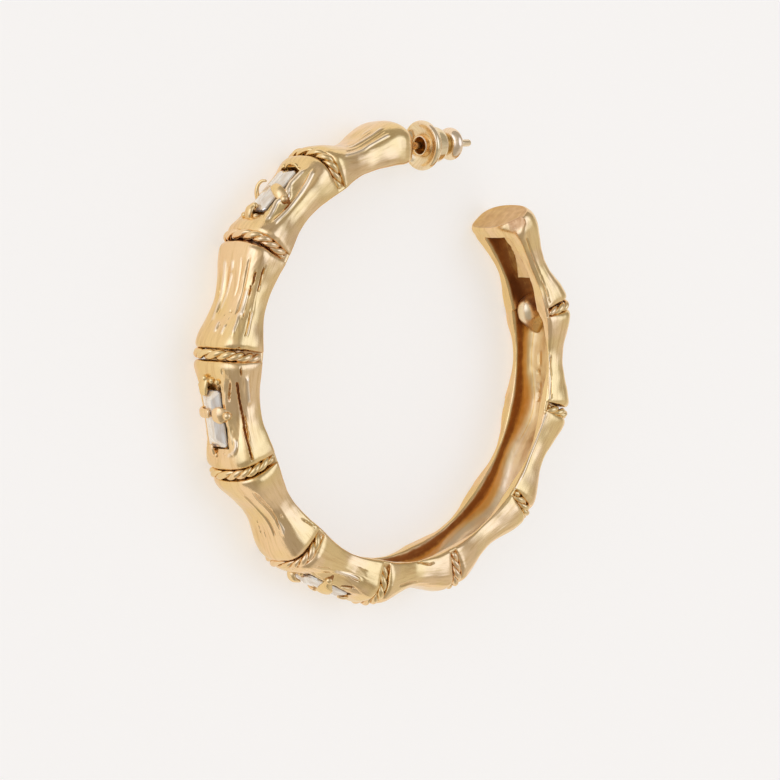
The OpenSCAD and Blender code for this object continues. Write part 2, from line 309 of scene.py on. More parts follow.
def section(a):
    """The section at the angles a: outer radius, half width, rim radius, gutter floor radius, gutter
    half width, half width over the rims."""
    dome = np.sqrt(1 - np.clip((LOBE_A - a) / (LOBE_A - POST_END_A), 0, 0.9999) ** 2)
    bevel = 1 - END_BEVEL * np.clip((a - FREE_SWELL_A) / (FREE_END_A - FREE_SWELL_A), 0, 1) ** 2
    bevel = bevel * (1 - END_ROUND * (1 - np.sqrt(1 - np.clip(a - FREE_END_A + 1, 0, 1) ** 2)))
    k = dome * bevel
    side_k = dome * np.sqrt(bevel)
    cut = GROOVE_D * groove(a)
    s = swell(a)
    wavy = rises(a - LOBE_A, 8, 10) * falls(a, LAST_JOINT_A + 12, 8)
    rim = MEAN_R - (MEAN_R - RIM_R + RIM_WAVE * s * wavy) * k
    b = mix(WAIST_B, SWELL_B, s)
    g = np.where(a > LAST_JOINT_A, GUTTER_END_B, mix(GUTTER_B, GUTTER_JOINT_B, s))
    opening = rises(a - LOBE_A, 2, 1.4) * falls(a, FREE_END_A - deg_of(END_PLATE), 0.6)
    floor = mix(rim, mix(FLOOR_WAIST_R, FLOOR_SWELL_R, s), opening)
    bend = FREE_END_IN * free_share(a)
    return (
        MEAN_R + (mix(WAIST_R, SWELL_R, s) - cut - MEAN_R) * k - bend,
        (b - FLANK_CUT * cut) * side_k,
        rim - bend,
        floor - bend,
        g * k,
        (RIM_B_SHARE * b - RIM_CUT * cut) * side_k,
    )


def face_point(t, outer, rim, b):
    """Point of the outer face as (radius, z): t = 0 on the upper flank and 1 on the lower one."""
    mid = (outer + rim) / 2
    return (
        mid + (outer - mid) * np.sin(np.pi * np.clip(t, 0, 1)) ** SQUARENESS,
        b * squared(np.cos(np.pi * t), SQUARENESS),
    )


def to_space(r, z, a):
    """Points in space, in mm with the hoop's middle level at z = 0, from radius, z and angle."""
    a = np.radians(a)
    return np.stack([r * np.cos(a), r * np.sin(a), z + 0 * a], axis=-1)


# Round the section a place is given by one number: 0 to 1 is the outer face from the upper flank to the
# lower one, -1 and 2 are the outer corners of the rims, 3 and 6 their inner corners, and 4 to 5 is the
# gutter's floor. 6 to 7 is the upper rim, and 7 is the same place as -1. The upper side is the front one.
# PLACE_STEPS says where each stretch begins and into how many steps it is divided.
PLACE_STEPS = [(-1, 22), (0, 95), (0.62, 30), (1, 14), (2, 10), (3, 11), (4, 18), (5, 8), (6, 12), (7, 0)]
PLACES = np.concatenate([
    np.linspace(start, end, steps, endpoint=False)
    for (start, steps), (end, _) in zip(PLACE_STEPS, PLACE_STEPS[1:])
])


def fillet_reaches(a):
    """How far the fillet of each corner of the section reaches along its two sides, in mm."""
    by_ends = np.maximum(rises(a - FREE_END_A, -5, 4), falls(a, LOBE_A + 5, 5))
    rim = RIM_ROUND + RIM_ROUND_AT_ENDS * by_ends
    none = 0 * a + 1e-4
    return [rim, none, none, rim] + [none + reach for reach in GUTTER_ROUNDS]


def on_fillet(before, corner, after, reach, t):
    """Point of a rounded corner: t = 0 where the rounding begins and 1 where it ends."""
    start = corner + unit(before - corner) * reach
    stop = corner + unit(after - corner) * reach
    return (1 - t) ** 2 * start + 2 * t * (1 - t) * corner + t ** 2 * stop


def filleted_run(corners, reaches, k, u):
    """Points from corner k of the section to the next one, with both corners rounded."""
    n = len(corners)
    before, here, there, after = [corners[(k + i) % n][:, None, :] for i in (-1, 0, 1, 2)]
    length = np.linalg.norm(there - here, axis=-1, keepdims=True)
    lengths = [np.linalg.norm(corners[(i + 1) % n] - corners[i], axis=-1) for i in range(n)]
    shorter = [np.minimum(lengths[i - 1], lengths[i]) for i in range(n)]
    reach = [np.minimum(r, most * side) for r, most, side in zip(reaches, MOST_OF_SIDE, shorter)]
    first = reach[k][:, None, None] + HAIR
    last = reach[(k + 1) % n][:, None, None] + HAIR
    far = u[None, :, None] * length
    out = here + u[None, :, None] * (there - here)
    out = np.where(far < first, on_fillet(before, here, there, first, (1 + far / first) / 2), out)
    left = length - far
    return np.where(left < last, on_fillet(here, there, after, last, (1 - left / last) / 2), out)


def plate_distance(a):
    """Distance along the hoop from the end plate's inner face, in mm."""
    return length_of(FREE_END_A - deg_of(END_PLATE) - a)


def in_fill(a, place):
    """1 where a place lies in the fill of the last length's gutter, 0 behind it."""
    start = np.interp(plate_distance(a), FILL_AT, FILL_FROM)[:, None]
    return rises(place, start, 0.15) * (place > 3) * (place < 6.001) * (a > LAST_JOINT_A)[:, None]


def fill_of(a, depth, place):
    """Share of its depth that the gutter keeps where the last length is filled up in front."""
    filled = np.interp(plate_distance(a), FILL_AT, FILL_DEPTH) / np.maximum(depth, 0.2)
    return mix(1, np.clip(filled, 0, 1)[:, None], in_fill(a, place))


def section_grid(a):
    """Radius and z of every place round the section, at the angles a."""
    outer, b, rim, floor, g, rb = section(a)
    mid = (outer + rim) / 2
    draft = GUTTER_DRAFT * (floor - rim) + 0.01
    upper_g = g + UPPER_WIDER * falls(a, LAST_JOINT_A, 3)
    ends = [(rim, rb), (mid, b), (mid, -b), (rim, -rb), (rim, -g), (floor, draft - g),
            (floor, upper_g - draft), (rim, upper_g)]
    corners = [stacked(*end) for end in ends]
    reaches = fillet_reaches(a)
    grid = stacked(*face_point(PLACES[None, :], outer[:, None], rim[:, None], b[:, None]))
    for k, place in enumerate(range(-1, 7)):
        if place == 0:
            continue
        here = (PLACES >= place) & (PLACES < place + 1)
        grid[:, here] = filleted_run(corners, reaches, k, PLACES[here] - place)
    grid_r, grid_z = grid[..., 0], grid[..., 1]
    kept = fill_of(a, floor - rim, PLACES[None, :])
    grid_r = np.where(kept < 1, mix(rim[:, None], grid_r, kept), grid_r)
    flank = np.clip(-PLACES, 0, 1) + np.clip(PLACES - 1, 0, 1) * (PLACES < 2)
    grid_z = grid_z + FLANK_BULGE * flank * (1 - flank) * np.sign(grid_z) * (PLACES < 2)
    grid_r = drawn_end(a, grid_r, grid_z, rb)
    return softened_corner(a, grid_r), softened_corner(a, grid_z)


def drawn_end(a, grid_r, grid_z, rb):
    """The radii with the free end's rims arched in, and its upper rim leaning outwards."""
    arch = END_ARCH * rises(a - FREE_END_A, -2.6, 2.2)[:, None]
    on_rim = (PLACES < -0.4) | (PLACES > 1.6)
    share = np.clip(1 - (grid_z / rb[:, None]) ** 2, 0, 1)
    lean = RIM_LEAN * rises(a, LAST_JOINT_A, 16) + FACE_LEAN * rises(a - FREE_END_A, -5, 5.2) ** 2
    upper = np.clip((grid_z + 0.6) / 4.3, 0, 1) ** 1.9
    near_rim = np.where(PLACES < 0, smooth(-PLACES), PLACES > 2.5)
    return grid_r - arch * share * on_rim + lean[:, None] * upper * near_rim


def softened_corner(a, grid):
    """Rounds the upper rim's outer corner off by the free end."""
    soft = 0.5 * rises(a - FREE_END_A, -7, 5)[:, None] * ((PLACES < -0.15) | (PLACES > 6.3))
    for _ in range(SOFTENING_ROUNDS):
        beside = (np.roll(grid, 1, axis=1) + np.roll(grid, -1, axis=1)) / 2
        grid = mix(grid, beside, soft)
    return grid


def ring_angles():
    """Angles of the casting's rings: closest at the grooves' lips and the ends."""
    from_edge = np.array([-0.09, -0.05, -0.01, 0.03, 0.08, 0.14, 0.21, 0.3, 0.4, 0.52, 0.66])
    lips = np.concatenate([[0.25, 0.5], GROOVE_W / 2 + from_edge])
    near = np.concatenate([-lips[::-1], [0], lips])
    stops = [mix(POST_END_A, LOBE_A, 1 - np.cos(np.linspace(0.02, 1, 30) * math.pi / 2))]
    start = LOBE_A
    for joint in JOINTS:
        stops.append(even(start, joint + deg_of(near[0])))
        stops.append(joint + deg_of(near))
        start = joint + deg_of(near[-1])
    stops.append(even(start, FREE_END_A - 0.9))
    stops.append(FREE_END_A - np.array([0.9, 0.7, 0.5, 0.35, 0.22, 0.12, 0.05, 0.015, 0]))
    return np.concatenate(stops)


def even(a, b):
    """Angles between two others, about RING_STEP apart along the hoop, without the two themselves."""
    n = int(abs(b - a) / deg_of(RING_STEP))
    return np.linspace(a, b, n + 2)[1:-1]


# Cast lines on the bamboo, charted from the photograph: half width and height in mm, below 0 where
# the line is cut in, then its points as (angle, place round the section)
CAST_LINES = [
    (0.17, 0.13, [(95.1, 0.16), (99.4, 0.185), (101.6, 0.188), (104, 0.17), (106.7, 0.145), (111, 0.12)]),
    (0.17, 0.13, [(95.2, 0.305), (98.3, 0.32), (100, 0.335), (103.5, 0.338), (106.8, 0.307)]),
    (0.13, 0.1, [(96.3, 0.403), (97.9, 0.432), (99.2, 0.45)]),
    (0.13, 0.08, [(101.5, 0.478), (103.4, 0.475)]),
    (0.14, -0.1, [(96, 0.245), (101, 0.265), (106, 0.235), (109, 0.2)]),
    (0.12, -0.08, [(97, 0.37), (101, 0.4), (105, 0.39)]),

    (0.2, 0.2, [(122, 0.32), (124.4, 0.333), (126.9, 0.335), (128.8, 0.297), (129.9, 0.265),
                (131.4, 0.28), (132.9, 0.318), (134.9, 0.302), (137.2, 0.29), (139, 0.283)]),
    (0.2, 0.17, [(121.1, 0.212), (123.1, 0.195), (125.8, 0.185), (130.3, 0.188), (134.5, 0.175),
                 (138.8, 0.18)]),

    (0.22, 0.14, [(150, 0.545), (154.7, 0.57), (160.2, 0.575), (164.9, 0.527)]),
    (0.12, -0.14, [(154.6, 0.608), (158, 0.618)]),
    (0.26, -0.1, [(151.1, 0.512), (155, 0.525), (159.7, 0.53), (163.2, 0.525)]),
    (0.18, 0.12, [(149.9, 0.47), (153.4, 0.478), (158.8, 0.503), (161.9, 0.5)]),
    (0.18, -0.1, [(149.3, 0.36), (154.1, 0.36), (158.6, 0.383)]),
    (0.18, -0.14, [(149.3, 0.263), (154.2, 0.275), (159.3, 0.285), (162.3, 0.28)]),
    (0.14, -0.3, [(151.8, 0.145), (154.6, 0.145)]),
    (0.14, -0.32, [(149.8, 0.013), (150.7, 0.03), (155.6, 0.02)]),
    (0.12, -0.25, [(155.2, 0.175), (157.3, 0.168)]),
    (0.18, 0.13, [(156.1, 0.217), (158.5, 0.22), (162.9, 0.203)]),
    (0.1, -0.15, [(161.9, 0.175), (163.1, 0.165)]),
    (0.16, 0.12, [(161.8, 0.255), (164.2, 0.23), (167.4, 0.233)]),
    (0.16, 0.12, [(165.3, 0.367), (167.9, 0.378)]),
    (0.16, 0.12, [(164.6, 0.46), (167.6, 0.458)]),
    (0.1, -0.16, [(161.2, 0.072), (163.3, 0.058), (167.5, 0.06)]),
    (0.12, 0.1, [(161.2, 0.04), (163.3, 0.028), (167.5, 0.03)]),

    (0.12, -0.25, [(175.3, 0.085), (177, 0.077)]),
    (0.14, -0.2, [(178.8, 0.25), (181.7, 0.275), (183.1, 0.283)]),
    (0.15, -0.34, [(178.9, 0.152), (183.8, 0.168), (187.8, 0.15), (191.4, 0.14), (194.7, 0.105),
                   (198, 0.09)]),
    (0.2, 0.15, [(177.7, 0), (181, -0.01), (184.5, 0)]),
    (0.1, -0.2, [(187.2, 0.11), (190.8, 0.098), (193, 0.09)]),
    (0.17, 0.15, [(192.5, 0.273), (194.9, 0.295), (196.3, 0.403)]),

    (0.2, -0.16, [(206.7, 0.39), (212.1, 0.393), (216.5, 0.365), (220.3, 0.36)]),
    (0.18, -0.15, [(206.3, 0.245), (208.9, 0.258), (214.1, 0.233), (218.4, 0.238)]),
    (0.12, -0.12, [(207.1, 0.222), (213.2, 0.207)]),
    (0.16, 0.14, [(216.5, 0.212), (219.6, 0.205), (220.4, 0.24)]),
    (0.14, -0.12, [(215.8, 0.517), (220.3, 0.537)]),
    (0.12, -0.1, [(218.8, 0.495), (221.4, 0.497)]),
    (0.12, -0.15, [(220.9, -0.6), (223.6, -0.75), (225.8, -0.8)]),

    (0.16, -0.14, [(233.4, 0.16), (235.5, 0.15), (238, 0.133)]),
    (0.16, -0.15, [(234.3, 0.29), (237.8, 0.33), (240.2, 0.295)]),
    (0.2, 0.16, [(239.6, 0.158), (242.8, 0.145), (245.7, 0.103), (248.5, 0.075)]),
    (0.1, -0.16, [(239.6, 0.19), (242.8, 0.177), (245.7, 0.135), (248.5, 0.107)]),
    (0.14, -0.28, [(245.3, 0.297), (246.9, 0.275), (248.9, 0.247)]),
    (0.12, -0.22, [(244.7, 0.388), (246.4, 0.388)]),
    (0.9, -0.16, [(246, 0.0), (250, 0.0)]),

    (0.2, -0.16, [(261.9, 0.037), (264.1, 0.058), (266.7, 0.083), (269.8, 0.13)]),
    (0.14, -0.2, [(270.1, -0.95), (272.2, -0.78), (273.7, -0.65), (275.2, -0.68)]),
    (0.16, 0.14, [(313.8, -0.98), (320, -1), (328, -1), (334, -0.98), (340, -0.94)]),
    (0.14, 0.1, [(343.8, -0.88), (346.8, -0.9), (350.2, -0.93), (354.8, -0.9), (358, -0.98)]),
    (0.12, -0.14, [(344.3, -0.75), (350.2, -0.8), (357, -0.84)]),
    (0.16, -0.14, [(373.2, -0.76), (376.8, -0.74), (381.2, -0.68), (388.4, -0.7), (394.9, -0.72)]),
    # A pitted seam along the gutter, dark with the painted shade of the cut lines
    (0.1, -0.2, [(344, 4.22), (346.2, 4.2), (348, 4.26), (351, 4.25), (353.5, 4.31), (356, 4.34),
                 (358, 4.32)]),
]
# Casting pits: angle, place, radius and depth in mm
PITS = [
    (152.5, 0.47, 0.13, 0.12), (162.1, 0.372, 0.16, 0.15), (163.7, 0.35, 0.12, 0.1),
    (165.9, 0.438, 0.12, 0.1), (162.9, 0.44, 0.13, 0.12), (163.5, 0.455, 0.1, 0.1),
    (157.2, 0.17, 0.12, 0.1), (170.8, 0.115, 0.16, 0.15), (186.7, 0.28, 0.12, 0.1),
    (190.2, 0.383, 0.12, 0.1), (190.3, 0.295, 0.12, 0.1), (184.2, 0.398, 0.1, 0.1),
    (180.1, 0.36, 0.12, 0.1), (176.3, 0.318, 0.14, 0.12), (216.2, 0.107, 0.16, 0.15),
]


# Meshes

def made(name, points, faces, smooth_below, lie=None, painted_shade_and_highlight=None, rough=None):
    """An object from points in mm with the hoop's middle level at z = 0. Edges sharper than
    smooth_below degrees stay sharp. lie is where a point is along and across its piece, in mm, then
    comes the painted shade of each point, below 0 a painted highlight, and rough how much of the
    mould's roughness it keeps."""
    mesh = bpy.data.meshes.new(name)
    placed = (np.asarray(points, float) + [0, 0, MID_Z]) * MM
    mesh.from_pydata(placed.tolist(), [], faces)
    mesh.validate()
    if lie is not None:
        layer = mesh.attributes.new("lie", "FLOAT_VECTOR", "POINT")
        flat = np.concatenate([lie, np.zeros((len(lie), 1))], axis=1)
        layer.data.foreach_set("vector", flat.astype(np.float32).ravel())
    for layer_name, values in (("painted_shade_and_highlight", painted_shade_and_highlight), ("as_cast", rough)):
        if values is not None:
            layer = mesh.attributes.new(layer_name, "FLOAT", "POINT")
            layer.data.foreach_set("value", np.asarray(values, np.float32).ravel())
    mesh.shade_smooth()
    mesh.set_sharp_from_angle(angle=math.radians(smooth_below))
    piece = bpy.data.objects.new(name, mesh)
    bpy.context.scene.collection.objects.link(piece)
    return piece


def skin(rings, count, caps=True):
    """Faces of a tube of rings, each of count points. caps closes its two ends."""
    faces = []
    for p in range(0, (rings - 1) * count, count):
        for i in range(count):
            j = (i + 1) % count
            faces.append((p + i, p + j, p + count + j, p + count + i))
    if caps:
        last = (rings - 1) * count
        faces.append(tuple(range(count - 1, -1, -1)))
        faces.append(tuple(range(last, last + count)))
    return faces


def outward(points, faces):
    """The faces turned so that their normals point out of the closed mesh."""
    volume = 0.0
    for face in faces:
        a = points[face[0]]
        for i in range(1, len(face) - 1):
            volume += np.dot(a, np.cross(points[face[i]], points[face[i + 1]]))
    if volume < 0:
        return [tuple(reversed(face)) for face in faces]
    return faces


def joined(parts):
    """Points and faces of several meshes as one."""
    points = []
    faces = []
    start = 0
    for some, own in parts:
        points.append(some)
        faces += [tuple(start + i for i in face) for face in own]
        start += len(some)
    return np.concatenate(points), faces


def tube(rings):
    """Points and faces of a closed tube through rings, an array of (ring, point, xyz)."""
    points = rings.reshape(-1, 3)
    return points, outward(points, skin(*rings.shape[:2]))


def curve_through(points, spacing):
    """A smooth curve through a few points, as points about spacing apart."""
    points = np.asarray(points, float)
    ends = np.concatenate([[2 * points[0] - points[1]], points, [2 * points[-1] - points[-2]]])
    out = []
    for k in range(len(points) - 1):
        p0, p1, p2, p3 = ends[k:k + 4]
        n = max(1, int(math.ceil(np.linalg.norm(p2 - p1) / spacing)))
        t = (np.arange(n) / n)[:, None]
        out.append(0.5 * (2 * p1 + (p2 - p0) * t + (2 * p0 - 5 * p1 + 4 * p2 - p3) * t ** 2
                          + (3 * p1 - p0 - 3 * p2 + p3) * t ** 3))
    out.append(points[-1:])
    return np.concatenate(out)


# The casting

def place_on(grid, angles, a, place):
    """Point of the grid at an angle and a place round the section."""
    i = np.clip(np.searchsorted(angles, a) - 1, 0, len(angles) - 2)
    j = np.clip(np.searchsorted(PLACES, place) - 1, 0, len(PLACES) - 2)
    u = (a - angles[i]) / (angles[i + 1] - angles[i])
    v = (place - PLACES[j]) / (PLACES[j + 1] - PLACES[j])
    near = mix(grid[i, j], grid[i, j + 1], v)
    return mix(near, mix(grid[i + 1, j], grid[i + 1, j + 1], v), u)


def line_height(grid, angles, half_width, height, chart):
    """Height that one cast line adds to each point of the grid, tapered at its two ends."""
    out = np.zeros(grid.shape[:2])
    a = np.array([p[0] for p in chart])
    place = np.array([p[1] for p in chart])
    rows = np.flatnonzero((angles > a.min() - 2) & (angles < a.max() + 2))
    cols = np.flatnonzero((PLACES > place.min() - 0.35) & (PLACES < place.max() + 0.35))
    knots = [place_on(grid, angles, *p) for p in chart]
    path = curve_through(knots, LINE_STEP)
    block = grid[np.ix_(rows, cols)]
    far = np.linalg.norm(block[:, :, None, :] - path[None, None], axis=-1)
    nearest = far.argmin(axis=-1)
    share = nearest / (len(path) - 1)
    length = LINE_STEP * len(path)
    ends = smooth(np.minimum(share, 1 - share) * length / (2.5 * half_width) + 0.25)
    profile = smooth(1.25 - far.min(axis=-1) / (half_width * 1.6))
    out[np.ix_(rows, cols)] = height * ends * profile
    return out


def pit_depth(grid, angles, a, place, radius, depth):
    """Height, below 0, that one casting pit adds to each point of the grid."""
    far = np.linalg.norm(grid - place_on(grid, angles, a, place), axis=-1)
    return -depth * smooth(1.3 - far / (radius * 1.3))


def hand_cast_waves(grid):
    """Slow unevenness of a wax model that was worked by hand, in mm."""
    x, y, z = grid[..., 0], grid[..., 1], grid[..., 2]
    waves = 0.018 * np.sin(1.9 * x + 1.1 * y + 0.7 * z + 0.6) * np.sin(1.3 * z - 0.8 * y + 1.0)
    waves += 0.014 * np.sin(2.9 * y - 1.7 * x + 1.3 * z) * np.cos(2.3 * z + 1.2 * x)
    waves += 0.02 * np.sin(0.9 * x - 1.2 * y + 1.6 * z + 2.0)
    return waves


def bamboo_streaks(grid, angles):
    """Fine ridges along the waists of the lengths, as on bamboo, in mm."""
    along = np.radians(angles)[:, None] * MEAN_R
    across = np.cumsum(np.linalg.norm(np.diff(grid, axis=1, prepend=grid[:, :1]), axis=-1), axis=1)
    which = np.searchsorted(JOINTS, angles)[:, None]
    bend = across + 0.25 * np.sin(0.5 * along + which)
    ridges = 0.45 * np.sin(5.3 * bend + 2.1 * which) + 0.35 * np.sin(8.9 * bend + 0.4 * along)
    ridges += 0.3 * np.sin(13.1 * bend - 0.7 * along + 1.0) + 0.25 * np.sin(3.1 * bend + 0.9 * along)
    on_face = rises(PLACES, -0.1, 0.15) * falls(PLACES, 0.72, 0.25)
    strength = np.array(STREAKS)[which] * (1 - swell(angles)[:, None]) ** 0.7
    return strength * ridges * on_face


def normals_of(grid):
    """Directions square to the grid's surface, all to the same side of it."""
    along = np.gradient(grid, axis=0)
    across = np.roll(grid, -1, axis=1) - np.roll(grid, 1, axis=1)
    n = np.cross(across, along)
    return n / (np.linalg.norm(n, axis=-1, keepdims=True) + 1e-9)


def stone_axes(i):
    """Middle of a stone's widest level, and its directions along the hoop, across it and outwards."""
    a = math.radians(STONES[i])
    out = np.array([math.cos(a), math.sin(a), 0])
    along = np.array([-math.sin(a), math.cos(a), 0])
    return GIRDLE_R * out, along, np.array([0, 0, 1.0]), out


def by_stone(i, x, y, h):
    """Point at x along the hoop, y across it and h outwards from a stone's middle."""
    mid, along, up, out = stone_axes(i)
    return mid + x * along + y * up + h * out


def from_stone(i, points):
    """Where points lie from a stone's middle: along the hoop, across it and outwards."""
    mid, along, up, out = stone_axes(i)
    own = points - mid
    return own @ along, own @ up, own @ out


def seat_lift(grid, i):
    """How far each point of the outer face is lifted outwards, so that metal stands round a stone."""
    x, y, h = from_stone(i, grid)
    low_x, high_x = POCKETS[i]
    from_end = np.minimum(high_x + SEAT_WALL - x, x - low_x + SEAT_WALL)
    from_side = STONE_W / 2 + STONE_GAP + SEAT_WALL - np.abs(y)
    inside = smooth(from_end / SEAT_SLOPE) * smooth(from_side / SEAT_SLOPE)
    on_face = (PLACES > 0.02) & (PLACES < 0.98)
    rough = 0.03 * np.sin(5.1 * x + 2 * i) * np.sin(6.3 * y)
    return np.maximum(SEAT_H + rough - h, 0) * inside * on_face[None, :] * (h > -4)


def cast_grid():
    """The casting's surface as a grid of points in rings, with the angles of the rings, and the painted
    shade, how rough and where along and across the casting each point is."""
    angles = ring_angles()
    r, z = section_grid(angles)
    ring_a = angles[:, None] + FACE_TILT * (MEAN_R - r) * free_share(angles)[:, None] ** 2
    grid = to_space(r, z, ring_a)
    for i in range(len(STONES)):
        grid = grid + seat_lift(grid, i)[..., None] * stone_axes(i)[3]
    grid, marks = hand_worked(grid, angles)
    grid[..., 2] = np.clip(grid[..., 2], -SWELL_B, SWELL_B)
    reach = np.linalg.norm(grid[..., :2], axis=-1, keepdims=True)
    grid[..., :2] *= np.minimum(1, (SWELL_R - 0.01) / reach)
    painted_shade_and_highlight, rough = painted_shade_and_mould_roughness(angles, marks)
    return angles, grid, painted_shade_and_highlight, rough, unrolled(grid, angles)


def hand_worked(grid, angles):
    """The grid with its waves, streaks, cast lines and pits, and the height of the last two alone."""
    normal = normals_of(grid)
    ring, middle = len(angles) // 2, np.argmin(np.abs(PLACES - 0.5))
    if normal[ring, middle] @ grid[ring, middle] < 0:
        normal = -normal
    height = hand_cast_waves(grid) + bamboo_streaks(grid, angles)
    marks = np.zeros(grid.shape[:2])
    for half_width, rise, chart in CAST_LINES:
        width = half_width * (RAISED_WIDTH if rise > 0 else CUT_WIDTH)
        line = line_height(grid, angles, width, rise, chart)
        height += line
        marks += line
    for pit in PITS:
        pit_cut = pit_depth(grid, angles, *pit)
        height += pit_cut
        marks += pit_cut
    calm = rises(angles, POST_END_A, 2) * falls(angles, FREE_END_A, 1)
    return grid + normal * (height * calm[:, None])[..., None], marks


def painted_shade_and_mould_roughness(angles, marks):
    """The painted shade at each point of the casting, below 0 a painted highlight where it is made
    bright, and how rough from the mould the point is."""
    inner = plate_distance(angles)
    within = rises(inner, 0, 0.15)[:, None]
    right_side = rises(angles, 322, 14)[:, None]
    rear_wall = rises(PLACES, 3.02, 0.12) * falls(PLACES, 3.6, 0.3)
    foot = FOOT_DARK * right_side * rises(PLACES, 3.3, 0.3) * falls(PLACES, 4.02, 0.25)
    seam = SEAM_DARK * right_side * smooth(1 - np.abs(PLACES - 4.06) / 0.05)
    behind_fill = (angles > LAST_JOINT_A + 2)[:, None] * rises(PLACES, 3.05, 0.3) * (PLACES < 5)
    behind_fill = behind_fill * (1 - in_fill(angles, PLACES[None, :] + 0.08))
    in_groove = rises(groove(angles), 0.55, 0.4)[:, None] * rises(PLACES, -0.95, 0.3) * (PLACES < 2)
    by_pad = (rises(inner, 7.1, 0.3) * rises(angles - LAST_JOINT_A, -1.5, 1.5))[:, None]
    by_pad = by_pad * rises(PLACES, 3.1, 0.3) * falls(PLACES, 5.95, 0.3)
    face_edge = rises(angles - FREE_END_A, -3.2, 1.8)[:, None] * ((PLACES > 6.2) | (PLACES < -0.3))
    painted_shade_and_highlight = deepest(
        GROOVE_DARK * in_groove,
        deepest(rear_wall + foot, seam, behind_fill) * within,
        PAD_DARK * by_pad,
        FILL_DARK * in_fill(angles, PLACES[None, :]) * (PLACES < 5.5) * within,
        CUT_DARK * rises(-marks, 0.08, 0.2),
        FACE_EDGE_DARK * face_edge,
    )
    hollow = rises(angles - LOBE_A, 4, 2)[:, None] * within
    painted_bright_floor = rises(PLACES, 3.65, 0.3) * falls(PLACES, 5.0, 0.4)
    # The raised lines get a painted highlight
    painted_shade_and_highlight = painted_shade_and_highlight - np.clip(marks / 0.14, 0, 1)
    # The gutter's floor gets a painted highlight, weaker on the right side
    painted_shade_and_highlight = painted_shade_and_highlight - FLOOR_PAINTED_BRIGHT * painted_bright_floor * hollow * (1 - 0.6 * right_side)
    return painted_shade_and_highlight, hollow * rises(PLACES, 3.1, 0.2) * falls(PLACES, 5.9, 0.3)


def unrolled(grid, angles):
    """Where each point is along and across the casting, in mm."""
    step = np.linalg.norm(np.diff(grid, axis=1, append=grid[:, :1]), axis=-1).mean(axis=0)
    across = np.cumsum(step) - step[0]
    return stacked(np.radians(angles)[:, None] * MEAN_R, across[None, :])


def bamboo_lengths():
    """The casting as eleven closed lengths. Each goes one ring past its joints, a hair under its
    neighbour, so that no seam shows in the gutter."""
    angles, grid, painted_shade_and_highlight, rough, lie = cast_grid()
    at_joints = [int(np.argmin(np.abs(angles - joint))) for joint in JOINTS]
    starts = [0] + [at - 1 for at in at_joints]
    stops = [at + 2 for at in at_joints] + [len(angles)]
    pieces = []
    for k, (start, stop) in enumerate(zip(starts, stops)):
        own = grid[start:stop].copy()
        if k > 0:
            own[0] = mix(own[0], own[0].mean(axis=0), TUCK)
        if k < len(JOINTS):
            own[-1] = mix(own[-1], own[-1].mean(axis=0), TUCK)
        pieces.append(bamboo_length(k, own, painted_shade_and_highlight[start:stop], rough[start:stop], lie[start:stop]))
    for i in range(len(STONES)):
        cut_pocket(pieces[2 * i + 1], i)
    return pieces


def bamboo_length(k, grid, painted_shade_and_highlight, rough, lie):
    """One closed length. The first is rounded off by the ear post, the last ends in the open face."""
    rings, count = grid.shape[:2]
    tip = closed_end(grid, 0, rings * count, LOBE_LOOPS if k == 0 else ())
    shares = FACE_LOOPS if k == len(JOINTS) else ()
    face = closed_end(grid, rings - 1, rings * count + len(tip[0]), shares)
    ends = np.concatenate([tip[0], face[0]])
    points = np.concatenate([grid.reshape(-1, 3), ends])
    faces = outward(points, skin(rings, count, caps=False) + tip[1] + face[1])
    lie = np.concatenate([lie.reshape(-1, 2), ends[:, [0, 2]]])
    painted_shade_and_highlight = np.concatenate([painted_shade_and_highlight.ravel(), np.full(len(ends), FACE_DARK)])
    rough = np.concatenate([rough.ravel(), np.full(len(ends), FACE_ROUGH)])
    return made(f"bamboo_length_{k + 1}", points, faces, SHARP, lie, painted_shade_and_highlight, rough)


def closed_end(grid, ring, start, shares):
    """Points and faces that close one end of a grid, with loops at shares of the way to its middle."""
    count = grid.shape[1]
    edge = grid[ring]
    outwards = edge.mean(axis=0) - grid[abs(ring - 3)].mean(axis=0) if ring else 0 * edge[0]
    outwards = outwards / max(np.linalg.norm(outwards), 1e-6)
    sunk = [FACE_SUNK * float(rises(share, 0.03, 0.08)) for share in shares]
    loops = [mix(edge, edge.mean(axis=0), share) - low * outwards for share, low in zip(shares, sunk)]
    before = [ring * count + i for i in range(count)]
    faces = []
    for n in range(len(loops)):
        after = [start + n * count + i for i in range(count)]
        faces += [(before[i - 1], before[i], after[i], after[i - 1]) for i in range(count)]
        before = after
    faces.append(tuple(before))
    if ring == 0:
        faces = [tuple(reversed(face)) for face in faces]
    return np.array(loops).reshape(-1, 3), faces


def without_fins(mesh):
    """Takes out pairs of thin faces that lie back to back, which a cut can leave along its edge."""
    work = bmesh.new()
    work.from_mesh(mesh)
    bmesh.ops.triangulate(work, faces=[face for face in work.faces if len(face.verts) > 4])
    pairs = {}
    for face in work.faces:
        pairs.setdefault(frozenset(corner.index for corner in face.verts), []).append(face)
    fins = [face for same in pairs.values() if len(same) > 1 for face in same]
    bmesh.ops.delete(work, geom=fins, context="FACES")
    work.to_mesh(mesh)
    work.free()


